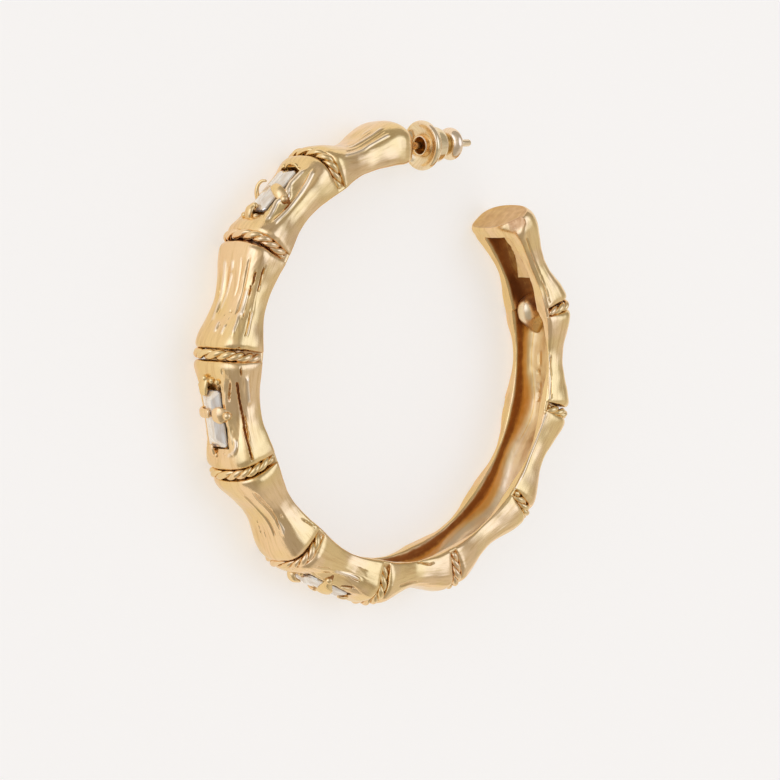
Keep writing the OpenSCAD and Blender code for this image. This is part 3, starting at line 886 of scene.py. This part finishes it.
def cut_pocket(piece, i):
    """Cuts the pocket that a stone lies in."""
    low_x, high_x = POCKETS[i]
    half_w = STONE_W / 2 + STONE_GAP
    ring = [(low_x, -half_w), (high_x, -half_w), (high_x, half_w), (low_x, half_w)]
    points = np.array([by_stone(i, x, y, h) for h in (-PAVILION_H - 0.1, 2.0) for x, y in ring])
    lie = np.stack(from_stone(i, points)[:2], axis=-1)
    faces = outward(points, skin(2, 4))
    # The cutter's painted shade, above 1, paints the pocket's cut walls black as shadow
    cutter = made("pocket_cutter", points, faces, 20, lie, np.full(8, POCKET_DARK))
    cut = piece.modifiers.new("pocket", "BOOLEAN")
    cut.operation = "DIFFERENCE"
    cut.solver = "EXACT"
    cut.object = cutter
    bpy.context.view_layer.update()
    whole = piece.evaluated_get(bpy.context.evaluated_depsgraph_get())
    mesh = bpy.data.meshes.new_from_object(whole)
    without_fins(mesh)
    piece.modifiers.clear()
    piece.data = mesh
    bpy.data.objects.remove(cutter)
    mesh.set_sharp_from_angle(angle=math.radians(SHARP))


# Rope bands

def rope_route(s):
    """Middle of a rope over its groove's floor, as (radius, z): s is 0 at the upper rim, 1 at the other."""
    outer = SWELL_R - GROOVE_D + ROPE_D / 2 + ROPE_GAP
    b = SWELL_B - ROPE_D / 2 - ROPE_GAP
    u = np.minimum(s, 1 - s) / FLANK_SHARE
    side = np.where(s < 0.5, 1, -1)
    over_face = np.clip((s - FLANK_SHARE) / (1 - 2 * FLANK_SHARE), 0, 1)
    face_r, face_z = face_point(over_face, outer, RIM_R, b)
    mid = (outer + RIM_R) / 2
    flank_r = mix(RIM_R + ROPE_END, mid, np.clip(u, 0, 1))
    flank_z = side * (b - 0.16 * np.clip(1 - u, 0, 1) ** 2)
    on_face = u >= 1
    return np.where(on_face, face_r, flank_r), np.where(on_face, face_z, flank_z)


def strand(axis, way, size):
    """Rings of one strand of a rope, which lies that way from the rope's axis."""
    line = axis + (ROPE_D / 2 - STRAND_R) * way
    ahead = unit(np.gradient(line, axis=0))
    over = unit(np.cross(ahead, way))
    flat = np.cross(over, ahead)
    f = full_turn(STRAND_SIDES)[None, :, None]
    return line[:, None] + size * (np.cos(f) * flat[:, None] + 1.16 * np.sin(f) * over[:, None])


def rope(i):
    """A rope of two strands, twisted to the left, over one joint."""
    s = np.linspace(0, 1, ROPE_STEPS)
    upper, middle, lower = ROPE_LAY[i]
    lays = [upper, mix(upper, middle, 0.6), middle, mix(middle, lower, 0.5), lower]
    a = JOINTS[i] + deg_of(np.interp(s, [0, 0.25, 0.5, 0.75, 1], lays))
    axis = to_space(*rope_route(s), a)
    fore = unit(np.gradient(axis, axis=0))
    side = np.stack([-np.sin(np.radians(a)), np.cos(np.radians(a)), 0 * a], axis=-1)
    out = unit(np.cross(fore, side))
    halfway = ROPE_STEPS // 2
    if out[halfway] @ axis[halfway] < 0:
        out = -out
    length = np.linalg.norm(np.diff(axis, axis=0), axis=-1).sum()
    turn = 2 * math.pi * s * round(length / GRAIN_L) / 2 + 0.9 * i
    thin = np.where((s < 0.02) | (s > 0.98), 0.6, 1.0)
    parts = []
    painted_shade_and_highlight = []
    for start in (0, math.pi):
        way = np.cos(turn + start)[:, None] * out + np.sin(turn + start)[:, None] * side
        uneven = 1 + 0.1 * np.sin(17 * s + 2 * i + start)
        rings = strand(axis, way, (STRAND_R * thin * uneven)[:, None, None])
        parts.append(tube(rings))
        off = rings - axis[:, None]
        low = np.einsum("kij,kj->ki", off, out)
        near = np.linalg.norm(off, axis=-1)
        # Painted shade on the strands' undersides and where they lie close to the rope's middle
        painted_shade_and_highlight.append(deepest(falls(low, -0.05, 0.3), falls(near, 0.36, 0.2)).ravel())
    points, faces = joined(parts)
    along = np.tile(np.repeat(s * length, STRAND_SIDES), 2)
    around = np.tile(np.linspace(0, 2, STRAND_SIDES), 2 * ROPE_STEPS)
    lie = np.stack([along, around], axis=-1)
    return made(f"rope_band_{i + 1}", points, faces, 60, lie, np.concatenate(painted_shade_and_highlight))


# Stones, their seats and claws

def stone_outline(l, w, c):
    """Outline of a step-cut stone at one level: a rectangle with cut corners."""
    x = l / 2
    y = w / 2
    return [
        (x, c - y), (x, y - c), (x - c, y), (c - x, y),
        (-x, y - c), (-x, c - y), (c - x, -y), (x - c, -y),
    ]


# Levels of a stone, from its keel to its table: share of the length, share of the width, height
STONE_LEVELS = [
    (0.55, 0.12, -PAVILION_H), (0.84, 0.62, -0.6 * PAVILION_H), (1, 1, -0.12), (1, 1, 0.06),
    (0.985, 0.95, 0.16), (0.72, 0.36, CROWN_H - 0.03), (0.7, 0.33, CROWN_H),
]


def stone(i):
    """A clear stone, closed by flat levels at its keel and its table."""
    rings = []
    lie = []
    for share_l, share_w, h in STONE_LEVELS:
        outline = stone_outline(STONE_L * share_l, STONE_W * share_w, 0.1 * STONE_W * share_w)
        rings.append([by_stone(i, x, y, h) for x, y in outline])
        lie += outline
    points, faces = tube(np.array(rings))
    return made(f"clear_stone_{i + 1}", points, faces, 5, np.array(lie))


# Distance between a claw's rings, points a ring, and shares of the way to its end where its rounded tip
# has rings. Then the rings of a cast ball and the points of each.
CLAW_STEP = 0.2
CLAW_SIDES = 24
CLAW_TIP = (0.35, 0.6, 0.8, 0.93, 0.99)
BALL_RINGS = 12
BALL_SIDES = 16
# Claws of the stones. Each is how ridged it is, 0.85 for a round one and above 1 for a ridge, then its
# path in mm from the middle of the stone's widest level: along the hoop, up, outwards, width, thickness
CLAWS = [
    [
        (0.85, [(0.75, 2.15, -1.3, 0.9, 0.8), (0.7, 2.1, -0.6, 1.2, 0.85), (0.5, 1.8, 0.05, 1.3, 0.75),
                (0.2, 1.35, 0.5, 1.25, 0.6), (-0.02, 0.9, 0.7, 1.0, 0.42)]),
        (0.9, [(1.0, -2.0, -1.2, 0.9, 0.7), (0.95, -1.75, -0.1, 0.8, 0.6), (0.7, -1.55, 0.65, 0.6, 0.5),
               (0.2, -1.4, 1.08, 0.45, 0.42), (-0.3, -1.1, 1.22, 0.4, 0.36),
               (-0.5, -0.8, 1.1, 0.36, 0.32)]),
        (0.9, [(4.4, -0.3, -0.6, 0.9, 0.8), (4.1, -0.25, 0.2, 1.1, 0.85), (3.6, -0.2, 0.62, 1.15, 0.75),
               (3.0, -0.15, 0.66, 0.9, 0.48)]),
        (0.9, [(-3.85, -1.2, -0.5, 0.5, 0.4), (-3.95, -0.8, 0.15, 0.42, 0.42),
               (-4.15, -0.2, 0.4, 0.42, 0.42), (-4.1, 0.55, 0.3, 0.42, 0.42),
               (-3.85, 1.15, -0.2, 0.45, 0.4)]),
    ],
    [
        (1.3, [(-0.45, 1.9, -1.2, 1.1, 0.8), (-0.45, 1.86, -0.5, 1.2, 0.8),
               (-0.45, 1.68, 0.12, 1.7, 0.66), (-0.5, 1.3, 0.5, 1.85, 0.6),
               (-0.6, 0.85, 0.72, 1.5, 0.45)]),
        (0.75, [(-0.75, -2.1, -1.2, 1.1, 0.8), (-0.75, -1.85, -0.1, 1.1, 0.75),
                (-0.75, -1.35, 0.6, 1.05, 0.6), (-0.76, -0.7, 0.88, 1.05, 0.5),
                (-0.76, 0, 0.9, 1.0, 0.42)]),
        (0.85, [(-4.5, -0.55, -0.6, 1.3, 0.9), (-4.3, -0.55, 0.15, 1.4, 0.85),
                (-3.7, -0.6, 0.46, 1.35, 0.7), (-3.0, -0.6, 0.6, 1.1, 0.46)]),
        (1.2, [(4.3, -1.0, -0.6, 0.9, 0.7), (4.0, -0.95, 0.15, 0.95, 0.7), (3.5, -0.9, 0.42, 0.9, 0.5),
               (3.1, -0.85, 0.46, 0.7, 0.36)]),
    ],
    [
        (1.25, [(-0.9, 2.2, -1.2, 0.8, 0.8), (-0.85, 2.05, -0.5, 0.85, 0.8), (-0.5, 1.6, 0.2, 1.3, 0.65),
                (-0.1, 1.1, 0.6, 1.75, 0.55), (0.2, 0.5, 0.85, 1.7, 0.4)]),
        (0.85, [(0, -2.0, -1.2, 1.0, 0.8), (0, -1.8, -0.1, 1.0, 0.7), (0, -1.4, 0.5, 0.95, 0.55),
                (0, -0.9, 0.72, 0.8, 0.42)]),
        (1.1, [(-4.5, -0.5, -0.5, 1.1, 0.8), (-4.3, -0.5, 0.35, 1.2, 0.8), (-3.8, -0.5, 0.75, 1.2, 0.7),
               (-3.1, -0.45, 0.72, 0.8, 0.44)]),
        (0.9, [(4.3, 0.2, -0.6, 0.8, 0.7), (4.0, 0.2, 0.15, 0.8, 0.6), (3.6, 0.2, 0.4, 0.7, 0.5),
               (3.1, 0.15, 0.52, 0.5, 0.36)]),
    ],
]
# Cast balls by the claws: along the hoop, up, outwards, size in mm
BALLS = [
    [(0.75, 2.2, -0.55, 1.15), (-3.95, -1.3, 0.1, 0.6), (4.0, -1.25, 0.1, 0.7), (4.1, 0.75, 0.05, 0.6),
     (-4.15, 0.3, 0.3, 0.55), (3.0, 0.1, 0.6, 0.7)],
    [(-0.38, 2.08, -0.02, 1.02), (-4.3, 0.5, 0.12, 0.7), (-4.15, 1.3, 0.0, 0.65),
     (-3.75, -1.45, 0.1, 0.65), (4.15, -0.5, 0.15, 0.6), (-0.75, -2.05, -0.35, 1.0),
     (-4.6, -0.35, 0.35, 0.75), (4.0, 0.9, 0.0, 0.5)],
    [(-0.9, 2.1, -0.35, 0.95), (0, -2.0, -0.35, 1.0), (4.1, -0.9, 0.05, 0.65), (-4.2, 0.9, 0.05, 0.7)],
]


def claw(i, ridge, path):
    """A claw of one stone, from its foot in the metal to its rounded tip over the stone."""
    line = curve_through(path, CLAW_STEP)
    middle, half_w, half_d = line[:, None, :3], line[:, 3, None, None] / 2, line[:, 4, None, None] / 2
    fore = unit(np.gradient(line[:, :3], axis=0))
    heading = line[-1, :2] - line[0, :2]
    side = np.array([-heading[1], heading[0], 0]) / np.linalg.norm(heading)
    over = np.cross(side, fore)[:, None]
    f = full_turn(CLAW_SIDES)[None, :, None]
    rings = (middle + half_w * squared(np.sin(f), ridge) * side
             + half_d * squared(np.cos(f), ridge) * over)
    tips = [mix(line[-1, :3], rings[-1], math.sqrt(1 - share ** 2)) + fore[-1] * line[-1, 4] * 0.7 * share
            for share in CLAW_TIP]
    own = np.concatenate([rings, tips])
    return tube(by_stone(i, own[..., 0:1], own[..., 1:2], own[..., 2:3]))


def cast_ball(i, x, y, h, size):
    """A small ball at x along the hoop, y across it and h above a stone's widest level."""
    _, along, up, _ = stone_axes(i)
    f = full_turn(BALL_SIDES)
    rings = []
    for lat in np.linspace(-88, 88, BALL_RINGS):
        c = math.cos(math.radians(lat)) * size / 2
        centre = by_stone(i, x, y, h + math.sin(math.radians(lat)) * size / 2)
        rings.append(centre + (c * np.cos(f))[:, None] * along + (c * np.sin(f))[:, None] * up)
    return tube(np.array(rings))


def claws(i):
    """The four claws of a stone with the balls at their feet."""
    parts = [claw(i, ridge, path) for ridge, path in CLAWS[i]]
    parts += [cast_ball(i, *ball) for ball in BALLS[i]]
    points, faces = joined(parts)
    x, y, h = from_stone(i, points)
    lie = np.stack([x, y], axis=-1)
    # Painted shade, darker towards the claws' feet below the stone's widest level
    return made(f"stone_{i + 1}_claws", points, faces, 50, lie, falls(h, -0.15, 0.6))


def pad():
    """Plain cast plug inside the gutter at the last joint, rounded above and pointed below."""
    foot = FLOOR_SWELL_R + 0.3
    f = np.linspace(0, math.pi, PAD_SIDES)
    rings = []
    for u in np.linspace(0.004, 0.996, PAD_RINGS):
        reach = 1.24 if u < PAD_WIDEST else 0.76
        w = PAD_HALF_W * math.sqrt(max(1e-4, 1 - (2 * abs(u - PAD_WIDEST) / reach) ** 2.1))
        if u < PAD_WIDEST:
            w = w * (0.35 + 0.65 * smooth(u / 0.5))
        top = mix(FLOOR_SWELL_R, RIM_R - 0.15, (w / PAD_HALF_W) ** 0.4)
        r = mix(foot, top, np.sin(f) ** 0.7)
        z = PAD_Z + w * squared(np.cos(f), 0.85)
        rings.append(to_space(r, z, LAST_JOINT_A + deg_of(PAD_L * (u - 0.52) - 0.75) + 0 * f))
    points, faces = tube(np.array(rings))
    along = np.repeat(np.linspace(0, PAD_L, PAD_RINGS), PAD_SIDES)
    lie = np.stack([along, points[:, 2]], axis=-1)
    from_rim = np.linalg.norm(points[:, :2], axis=-1) - RIM_R
    # Painted shade towards the pad's foot deep in the gutter, and a painted highlight on its top
    painted_shade_and_highlight = 1.4 * rises(from_rim, 1.5, 1.4) - 0.4
    return made("gutter_pad", points, faces, 50, lie, painted_shade_and_highlight, np.full(len(points), 0.8))


# Ear post and nut

def lathed(profile, sides, from_x):
    """Rings of a turned piece on the ear post's axis, from (radius, distance) points."""
    f = full_turn(sides)
    return np.array([
        np.stack([0 * f + from_x + x, POST_Y + r * np.cos(f), r * np.sin(f)], axis=-1)
        for r, x in profile
    ])


def round_the_post(points):
    """How far round the ear post's axis each point is, as its lie across the piece."""
    return 3 * np.arctan2(points[:, 2], points[:, 1] - POST_Y)


def softened(profile, rounds):
    """The closed profile with its corners cut again and again, which rounds them."""
    points = np.asarray(profile, float)
    for _ in range(rounds):
        nxt = np.roll(points, -1, axis=0)
        points = np.stack([mix(points, nxt, 0.25), mix(points, nxt, 0.75)], axis=1).reshape(-1, 2)
    return points


def ear_post():
    """The post, with the shallow notch that the nut's end rests in and a rounded tip."""
    notch = DISC_X + NUT_L
    points, faces = tube(lathed([
        (0.01, 1.5), (POST_R, 1.5), (POST_R, notch - 0.9), (POST_R - 0.08, notch - 0.45), (POST_R, notch),
        (POST_R, POST_TIP_X - 0.24), (POST_R - 0.05, POST_TIP_X - 0.11),
        (POST_R - 0.16, POST_TIP_X - 0.02), (POST_R - 0.26, POST_TIP_X), (0.01, POST_TIP_X),
    ], POST_SIDES, 0))
    x = points[:, 0]
    lie = np.stack([x, round_the_post(points)], axis=-1)
    # Painted shade on the post between the hoop and the nut's disc
    return made("ear_post", points, faces, 30, lie, 0.3 * falls(x, DISC_X + 0.4, 2))


def ear_nut():
    """The push-on nut: a dished disc with a collar in front, then a bell, a neck and a bead."""
    d, b, e, bore = DISC_R, BELL_R, BEAD_R, BORE_R
    profile = softened([
        (d, -0.02), (d - 0.1, -0.24), (d - 0.28, -0.28), (d - 0.48, -0.15), (2.1, 0.2), (1.7, 0.45),
        (1.38, 0.55), (1.24, 0.3), (1.22, -0.2), (1.12, -0.36), (1.0, -0.3), (0.93, 0.0), (0.82, 0.5),
        (bore, 1.1), (bore, NUT_L - 0.1), (bore + 0.1, NUT_L), (e - 1, NUT_L), (e - 0.45, 5.3),
        (e - 0.12, 5.08), (e, 4.7), (e - 0.1, 4.25), (e - 0.4, 3.9), (e - 0.8, 3.78), (1.1, 3.7),
        (1.08, 3.25), (1.3, 3.0), (b - 0.3, 2.75), (b - 0.08, 2.3), (b, 1.7), (b + 0.05, 1.2),
        (b + 0.3, 0.9), (d - 0.3, 0.62), (d - 0.08, 0.45), (d, 0.2),
    ], 2)
    rings = lathed(profile, NUT_SIDES, DISC_X)
    points = rings.reshape(-1, 3)
    faces = skin(len(rings) + 1, rings.shape[1], caps=False)
    faces = [tuple(corner % len(points) for corner in face) for face in faces]
    x = points[:, 0] - DISC_X
    r = np.linalg.norm(points[:, 1:] - [POST_Y, 0], axis=-1)
    lie = np.stack([x + r, round_the_post(points)], axis=-1)
    # Painted shade in the collar's bore, round the collar, in the neck and behind the disc
    in_collar = 0.9 * falls(r, 1.05, 0.2) * (x < 3)
    round_collar = 0.55 * falls(r, 1.75, 0.4) * rises(x, 0.15, 0.3) * (x < 0.8)
    neck = falls(np.abs(x - 3.45), 0.55, 0.3) * falls(r, 1.6, 0.4)
    behind = 0.5 * falls(np.abs(x - 1.0), 0.35, 0.3) * (r > 1.9)
    painted_shade_and_highlight = deepest(in_collar, round_collar, neck, behind)
    return made("push_on_nut", points, outward(points, faces), SHARP, lie, painted_shade_and_highlight)


# Shader maths

class Value:
    """A shader socket. On one that carries a number, + - and * add Math nodes."""

    def __init__(self, finish, socket):
        self.finish = finish
        self.socket = socket

    def calc(self, operation, a, b):
        return self.finish.node("Math", {"operation": operation}, {0: a, 1: b}).value(0)

    def __add__(self, other):
        return self.calc("ADD", self, other)

    __radd__ = __add__

    def __sub__(self, other):
        return self.calc("SUBTRACT", self, other)

    def __rsub__(self, other):
        return self.calc("SUBTRACT", other, self)

    def __mul__(self, other):
        return self.calc("MULTIPLY", self, other)

    __rmul__ = __mul__

    def between(self, low, high):
        """0 at low and below, 1 at high and above, even between."""
        settings = {"interpolation_type": "SMOOTHSTEP"}
        return self.finish.node("MapRange", settings, {0: self, 1: low, 2: high}).value(0)


class Made:
    """A node, whose outputs are picked by number or name."""

    def __init__(self, finish, node):
        self.finish = finish
        self.node = node

    def value(self, output):
        return Value(self.finish, self.node.outputs[output])


class Finish:
    """The nodes of one material, or of the light all round."""

    def __init__(self, owner):
        self.owner = owner
        self.owner.use_nodes = True
        self.tree = self.owner.node_tree
        self.tree.nodes.clear()

    def node(self, kind, settings=None, sockets=None):
        """Adds a node: its settings first, then the values or links of its sockets."""
        made_node = self.tree.nodes.new("ShaderNode" + kind)
        for key, setting in (settings or {}).items():
            setattr(made_node, key, setting)
        for key, given in (sockets or {}).items():
            if isinstance(given, Value):
                self.tree.links.new(given.socket, made_node.inputs[key])
            else:
                made_node.inputs[key].default_value = given
        return Made(self, made_node)

    def blended(self, factor, a, b):
        """Colour a where factor is 0, b where it is 1."""
        return self.node("Mix", {"data_type": "RGBA"}, {0: factor, 6: a, 7: b}).value(2)

    def attribute(self, name):
        """A value that the meshes carry at each point."""
        return self.node("Attribute", {"attribute_name": name})

    def stretched(self, vector, x, y):
        """The place with its first two parts at other scales, which draws a noise out."""
        return self.node("VectorMath", {"operation": "MULTIPLY"}, {0: vector, 1: (x, y, 1)}).value(0)

    def noise(self, vector, scale, detail=3.0, rough=0.5):
        sockets = {"Vector": vector, "Scale": scale, "Detail": detail, "Roughness": rough}
        return self.node("TexNoise", {}, sockets).value("Fac")

    def finished(self, shader, output="OutputMaterial"):
        """Leads the shader to the output, and returns what the nodes belong to."""
        end = self.node(output)
        self.tree.links.new(shader.node.outputs[0], end.node.inputs["Surface"])
        return self.owner


# Finishes

def tinted(colour, *shares):
    """The colour with its red, green and blue each at a share of their strength."""
    return [part * share for part, share in zip(colour, shares)] + [1]


def gold_finish(name, bright, deep, shine, scratch):
    """Gold plate over cast brass: bright on what is polished, with a painted highlight that makes it paler
    on the raised lines, painted shade that makes it deep in the hollows and painted shadow that makes
    it near black in the pockets. shine is the roughness where it is polished, scratch the depth of its
    scratches in mm."""
    f = Finish(bpy.data.materials.new(name))
    lie = f.attribute("lie").value("Vector")
    painted_shade_and_highlight = f.attribute("painted_shade_and_highlight").value("Fac")
    as_cast = f.attribute("as_cast").value("Fac")
    place = f.node("TexCoord").value("Object")
    clouds = f.noise(place, 230.0, 2.0)
    mottle = f.noise(place, 1100.0, 3.0, 0.6)
    streaks = f.noise(f.stretched(lie, 0.5, 7.0), 1.0, 4.0, 0.6)
    specks = f.noise(place, 5200.0, 2.0)
    olive = tinted(bright, 0.96, 0.97, 0.87)
    rosy = tinted(bright, 1, 0.99, 1.06)
    worn = tinted(bright, 0.8, 0.73, 0.6)
    amber = tinted(bright, 1, 0.85, 0.5)
    pale = [mix(part, 1, 0.3) for part in bright]
    plate = f.blended(clouds.between(0.38, 0.62), olive, rosy)
    bands = f.noise(f.stretched(lie, 0.3, 2.2), 1.0, 3.0, 0.55)
    plate = f.blended(bands.between(0.46, 0.7) * 0.6, plate, worn)
    # Painted highlight: paler where the painted shade is below 0
    plate = f.blended((painted_shade_and_highlight * -1.0).between(0.1, 1.0) * 0.8, plate, pale)
    # Painted shade, mottled: amber in the rough as-cast gutter, partly its own tone and partly painted
    # shade
    patches = (mottle - 0.5) * 0.9 + (streaks - 0.5) * 0.9
    mottled_painted_shade = painted_shade_and_highlight + patches * (painted_shade_and_highlight + as_cast * 0.12)
    colour = f.blended(mottled_painted_shade.between(0.0, 0.35) * as_cast, plate, amber)
    # Painted shade: the deep colour where the hollows are deepest
    colour = f.blended(mottled_painted_shade.between(0.0, 1.0), colour, deep)
    # Painted shadow: near black where the painted shade is above 1
    colour = f.blended(painted_shade_and_highlight.between(1.1, 1.9), colour, (0.02, 0.008, 0.006, 1))
    rough = shine + mottle.between(0.4, 0.7) * 0.08 + painted_shade_and_highlight.between(0.0, 1.0) * 0.18
    rough = rough + (specks - 0.5) * 0.06 + as_cast * 0.16
    uneven = clouds * 0.3 + mottle * 0.5 + streaks * 0.5 + specks * 0.14
    uneven = uneven + as_cast * (mottle * 2.0 + f.noise(place, 2600.0, 3.0, 0.6) * 1.6)
    relief = {"Strength": 1.0, "Distance": scratch * MM, "Height": uneven}
    bump = f.node("Bump", {}, relief).value("Normal")
    shader = f.node("BsdfPrincipled", {}, {
        "Base Color": colour, "Metallic": 1.0, "Roughness": rough, "Normal": bump,
    })
    return f.finished(shader)


def crystal_finish():
    """Clear stone on foil: pale and slightly rosy, with faint bands of painted reflection inside."""
    f = Finish(bpy.data.materials.new("clear stone on foil"))
    lie = f.attribute("lie").value("Vector")
    bands = f.noise(f.stretched(lie, 0.5, 1.6), 1.1, 2.0)
    fine = f.noise(f.stretched(lie, 1.2, 6.0), 1.0, 3.0)
    shade = (bands * 0.7 + fine * 0.4).between(0.35, 0.75)
    colour = f.blended(shade, (0.75, 0.61, 0.46, 1), (0.99, 0.93, 0.8, 1))
    rough = fine.between(0.3, 0.7) * 0.06 + 0.07
    shader = f.node("BsdfPrincipled", {}, {
        "Base Color": colour, "Metallic": 0.55, "Roughness": rough,
        "IOR": 1.55, "Coat Weight": 1.0, "Coat Roughness": 0.03,
    })
    return f.finished(shader)


def floor_finish():
    """Pale even table with a fine grain, partly lit by itself."""
    f = Finish(bpy.data.materials.new("pale table"))
    place = f.node("TexCoord").value("Object")
    grain = f.noise(place, 900.0, 2.0)
    colour = f.blended(grain, (0.545, 0.525, 0.51, 1), (0.56, 0.54, 0.525, 1))
    bump = f.node("Bump", {}, {"Strength": 0.2, "Distance": 0.00002, "Height": grain}).value("Normal")
    shader = f.node("BsdfPrincipled", {}, {
        "Base Color": colour, "Roughness": 0.7, "Normal": bump,
        "Emission Color": (0.9, 0.863, 0.79, 1), "Emission Strength": FLOOR_GLOW,
    })
    return f.finished(shader)


# The scene

def dress(piece, body, slot, finish, *nodes):
    """Gives a piece its finish, and says which body it rides on and which nodes it stands for."""
    piece.data.materials.clear()
    piece.data.materials.append(finish)
    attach(piece, body)
    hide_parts(*nodes)


# Colour of the light from all round, and strength of the table's own light
ALL_ROUND = (0.43, 0.415, 0.395)
FLOOR_GLOW = 0.61
# Half the width of the table in m, and its points along each side
FLOOR_HALF = 0.9
FLOOR_POINTS = 12
# Soft windows in the light all round: direction, angle in degrees to where a window is full and to
# where it ends, colour on top of that light
WINDOWS = [
    ((0.441, 0.161, 0.883), 13, 30, (0.74, 0.92, 1.35)),
    ((-0.94, 0.3, 0.16), 17, 42, (0.76, 0.93, 1.35)),
    ((0.692, -0.692, 0.208), 20, 60, (0.28, 0.28, 0.29)),
    ((-0.663, 0.383, 0.643), 10, 42, (0.25, 0.25, 0.26)),
]


def build_lights():
    f = Finish(bpy.data.worlds.new("studio"))
    toward = f.node("TexCoord").value("Generated")
    light = ALL_ROUND + (1,)
    for middle, full, end, colour in WINDOWS:
        lean = f.node("VectorMath", {"operation": "DOT_PRODUCT"}, {0: toward, 1: middle}).value("Value")
        share = lean.between(math.cos(math.radians(end)), math.cos(math.radians(full)))
        window = f.blended(share, (0, 0, 0, 1), colour + (1,))
        added = {"data_type": "RGBA", "blend_type": "ADD"}
        light = f.node("Mix", added, {0: 1.0, 6: light, 7: window}).value(2)
    shader = f.node("Background", {}, {"Color": light, "Strength": 1.0})
    bpy.context.scene.world = f.finished(shader, "OutputWorld")


def build_camera():
    """The camera at the photograph's angle to the earring."""
    eye = Vector((-0.21713, 0.03155, 0.23734))
    back = Vector((-0.6762, 0.108, 0.7287)).normalized()
    right = Vector((0.7298, -0.0365, 0.6826))
    right = (right - back * right.dot(back)).normalized()
    up = back.cross(right)
    lens = bpy.data.cameras.new("camera")
    lens.sensor_width = 36
    lens.lens = 127.8
    lens.clip_start = 0.01
    camera = bpy.data.objects.new("camera", lens)
    camera.matrix_world = Matrix.Translation(eye) @ Matrix((right, up, back)).transposed().to_4x4()
    bpy.context.scene.collection.objects.link(camera)
    bpy.context.scene.camera = camera


def build_floor():
    n = FLOOR_POINTS
    xs = np.linspace(-FLOOR_HALF, FLOOR_HALF, n) / MM
    points = [(x, y, -MID_Z) for y in xs for x in xs]
    faces = [(j * n + i, j * n + i + 1, (j + 1) * n + i + 1, (j + 1) * n + i)
             for j in range(n - 1) for i in range(n - 1)]
    floor = made("table_top", points, faces, 30)
    floor.data.materials.append(floor_finish())


# Gold plates of the casting, of its ropes, and of the nut, post and pad: name, bright colour, deep colour
# of the painted shade, roughness where polished, depth of the scratches in mm
PLATES = [
    ("satin gold plate", (0.92, 0.652, 0.335, 1), (0.38, 0.155, 0.045, 1), 0.18, 0.013),
    ("gold plate of the ropes", (0.92, 0.66, 0.355, 1), (0.28, 0.1, 0.03, 1), 0.18, 0.007),
    ("pale gold plate of the nut", (0.95, 0.75, 0.5, 1), (0.6, 0.34, 0.09, 1), 0.15, 0.004),
]


def build_earring():
    gold, rope_gold, nut_gold = [gold_finish(*plate) for plate in PLATES]
    crystal = crystal_finish()
    for length in bamboo_lengths():
        dress(length, "hoop", "gold", gold, "bamboo_hoop")
    for i in range(len(JOINTS)):
        dress(rope(i), "hoop", "gold", rope_gold, "bamboo_hoop")
    for i in range(len(STONES)):
        dress(claws(i), "hoop", "gold", gold, "bamboo_hoop")
        dress(stone(i), "hoop", "crystal", crystal, f"stone_{i + 1}")
    dress(pad(), "hoop", "gold", nut_gold, "bamboo_hoop")
    dress(ear_post(), "hoop", "gold", nut_gold, "bamboo_hoop")
    dress(ear_nut(), "nut", "nut_gold", nut_gold, "ear_nut")


build_earring()
build_floor()
build_lights()
build_camera()
bpy.context.scene.view_settings.view_transform = "Standard"
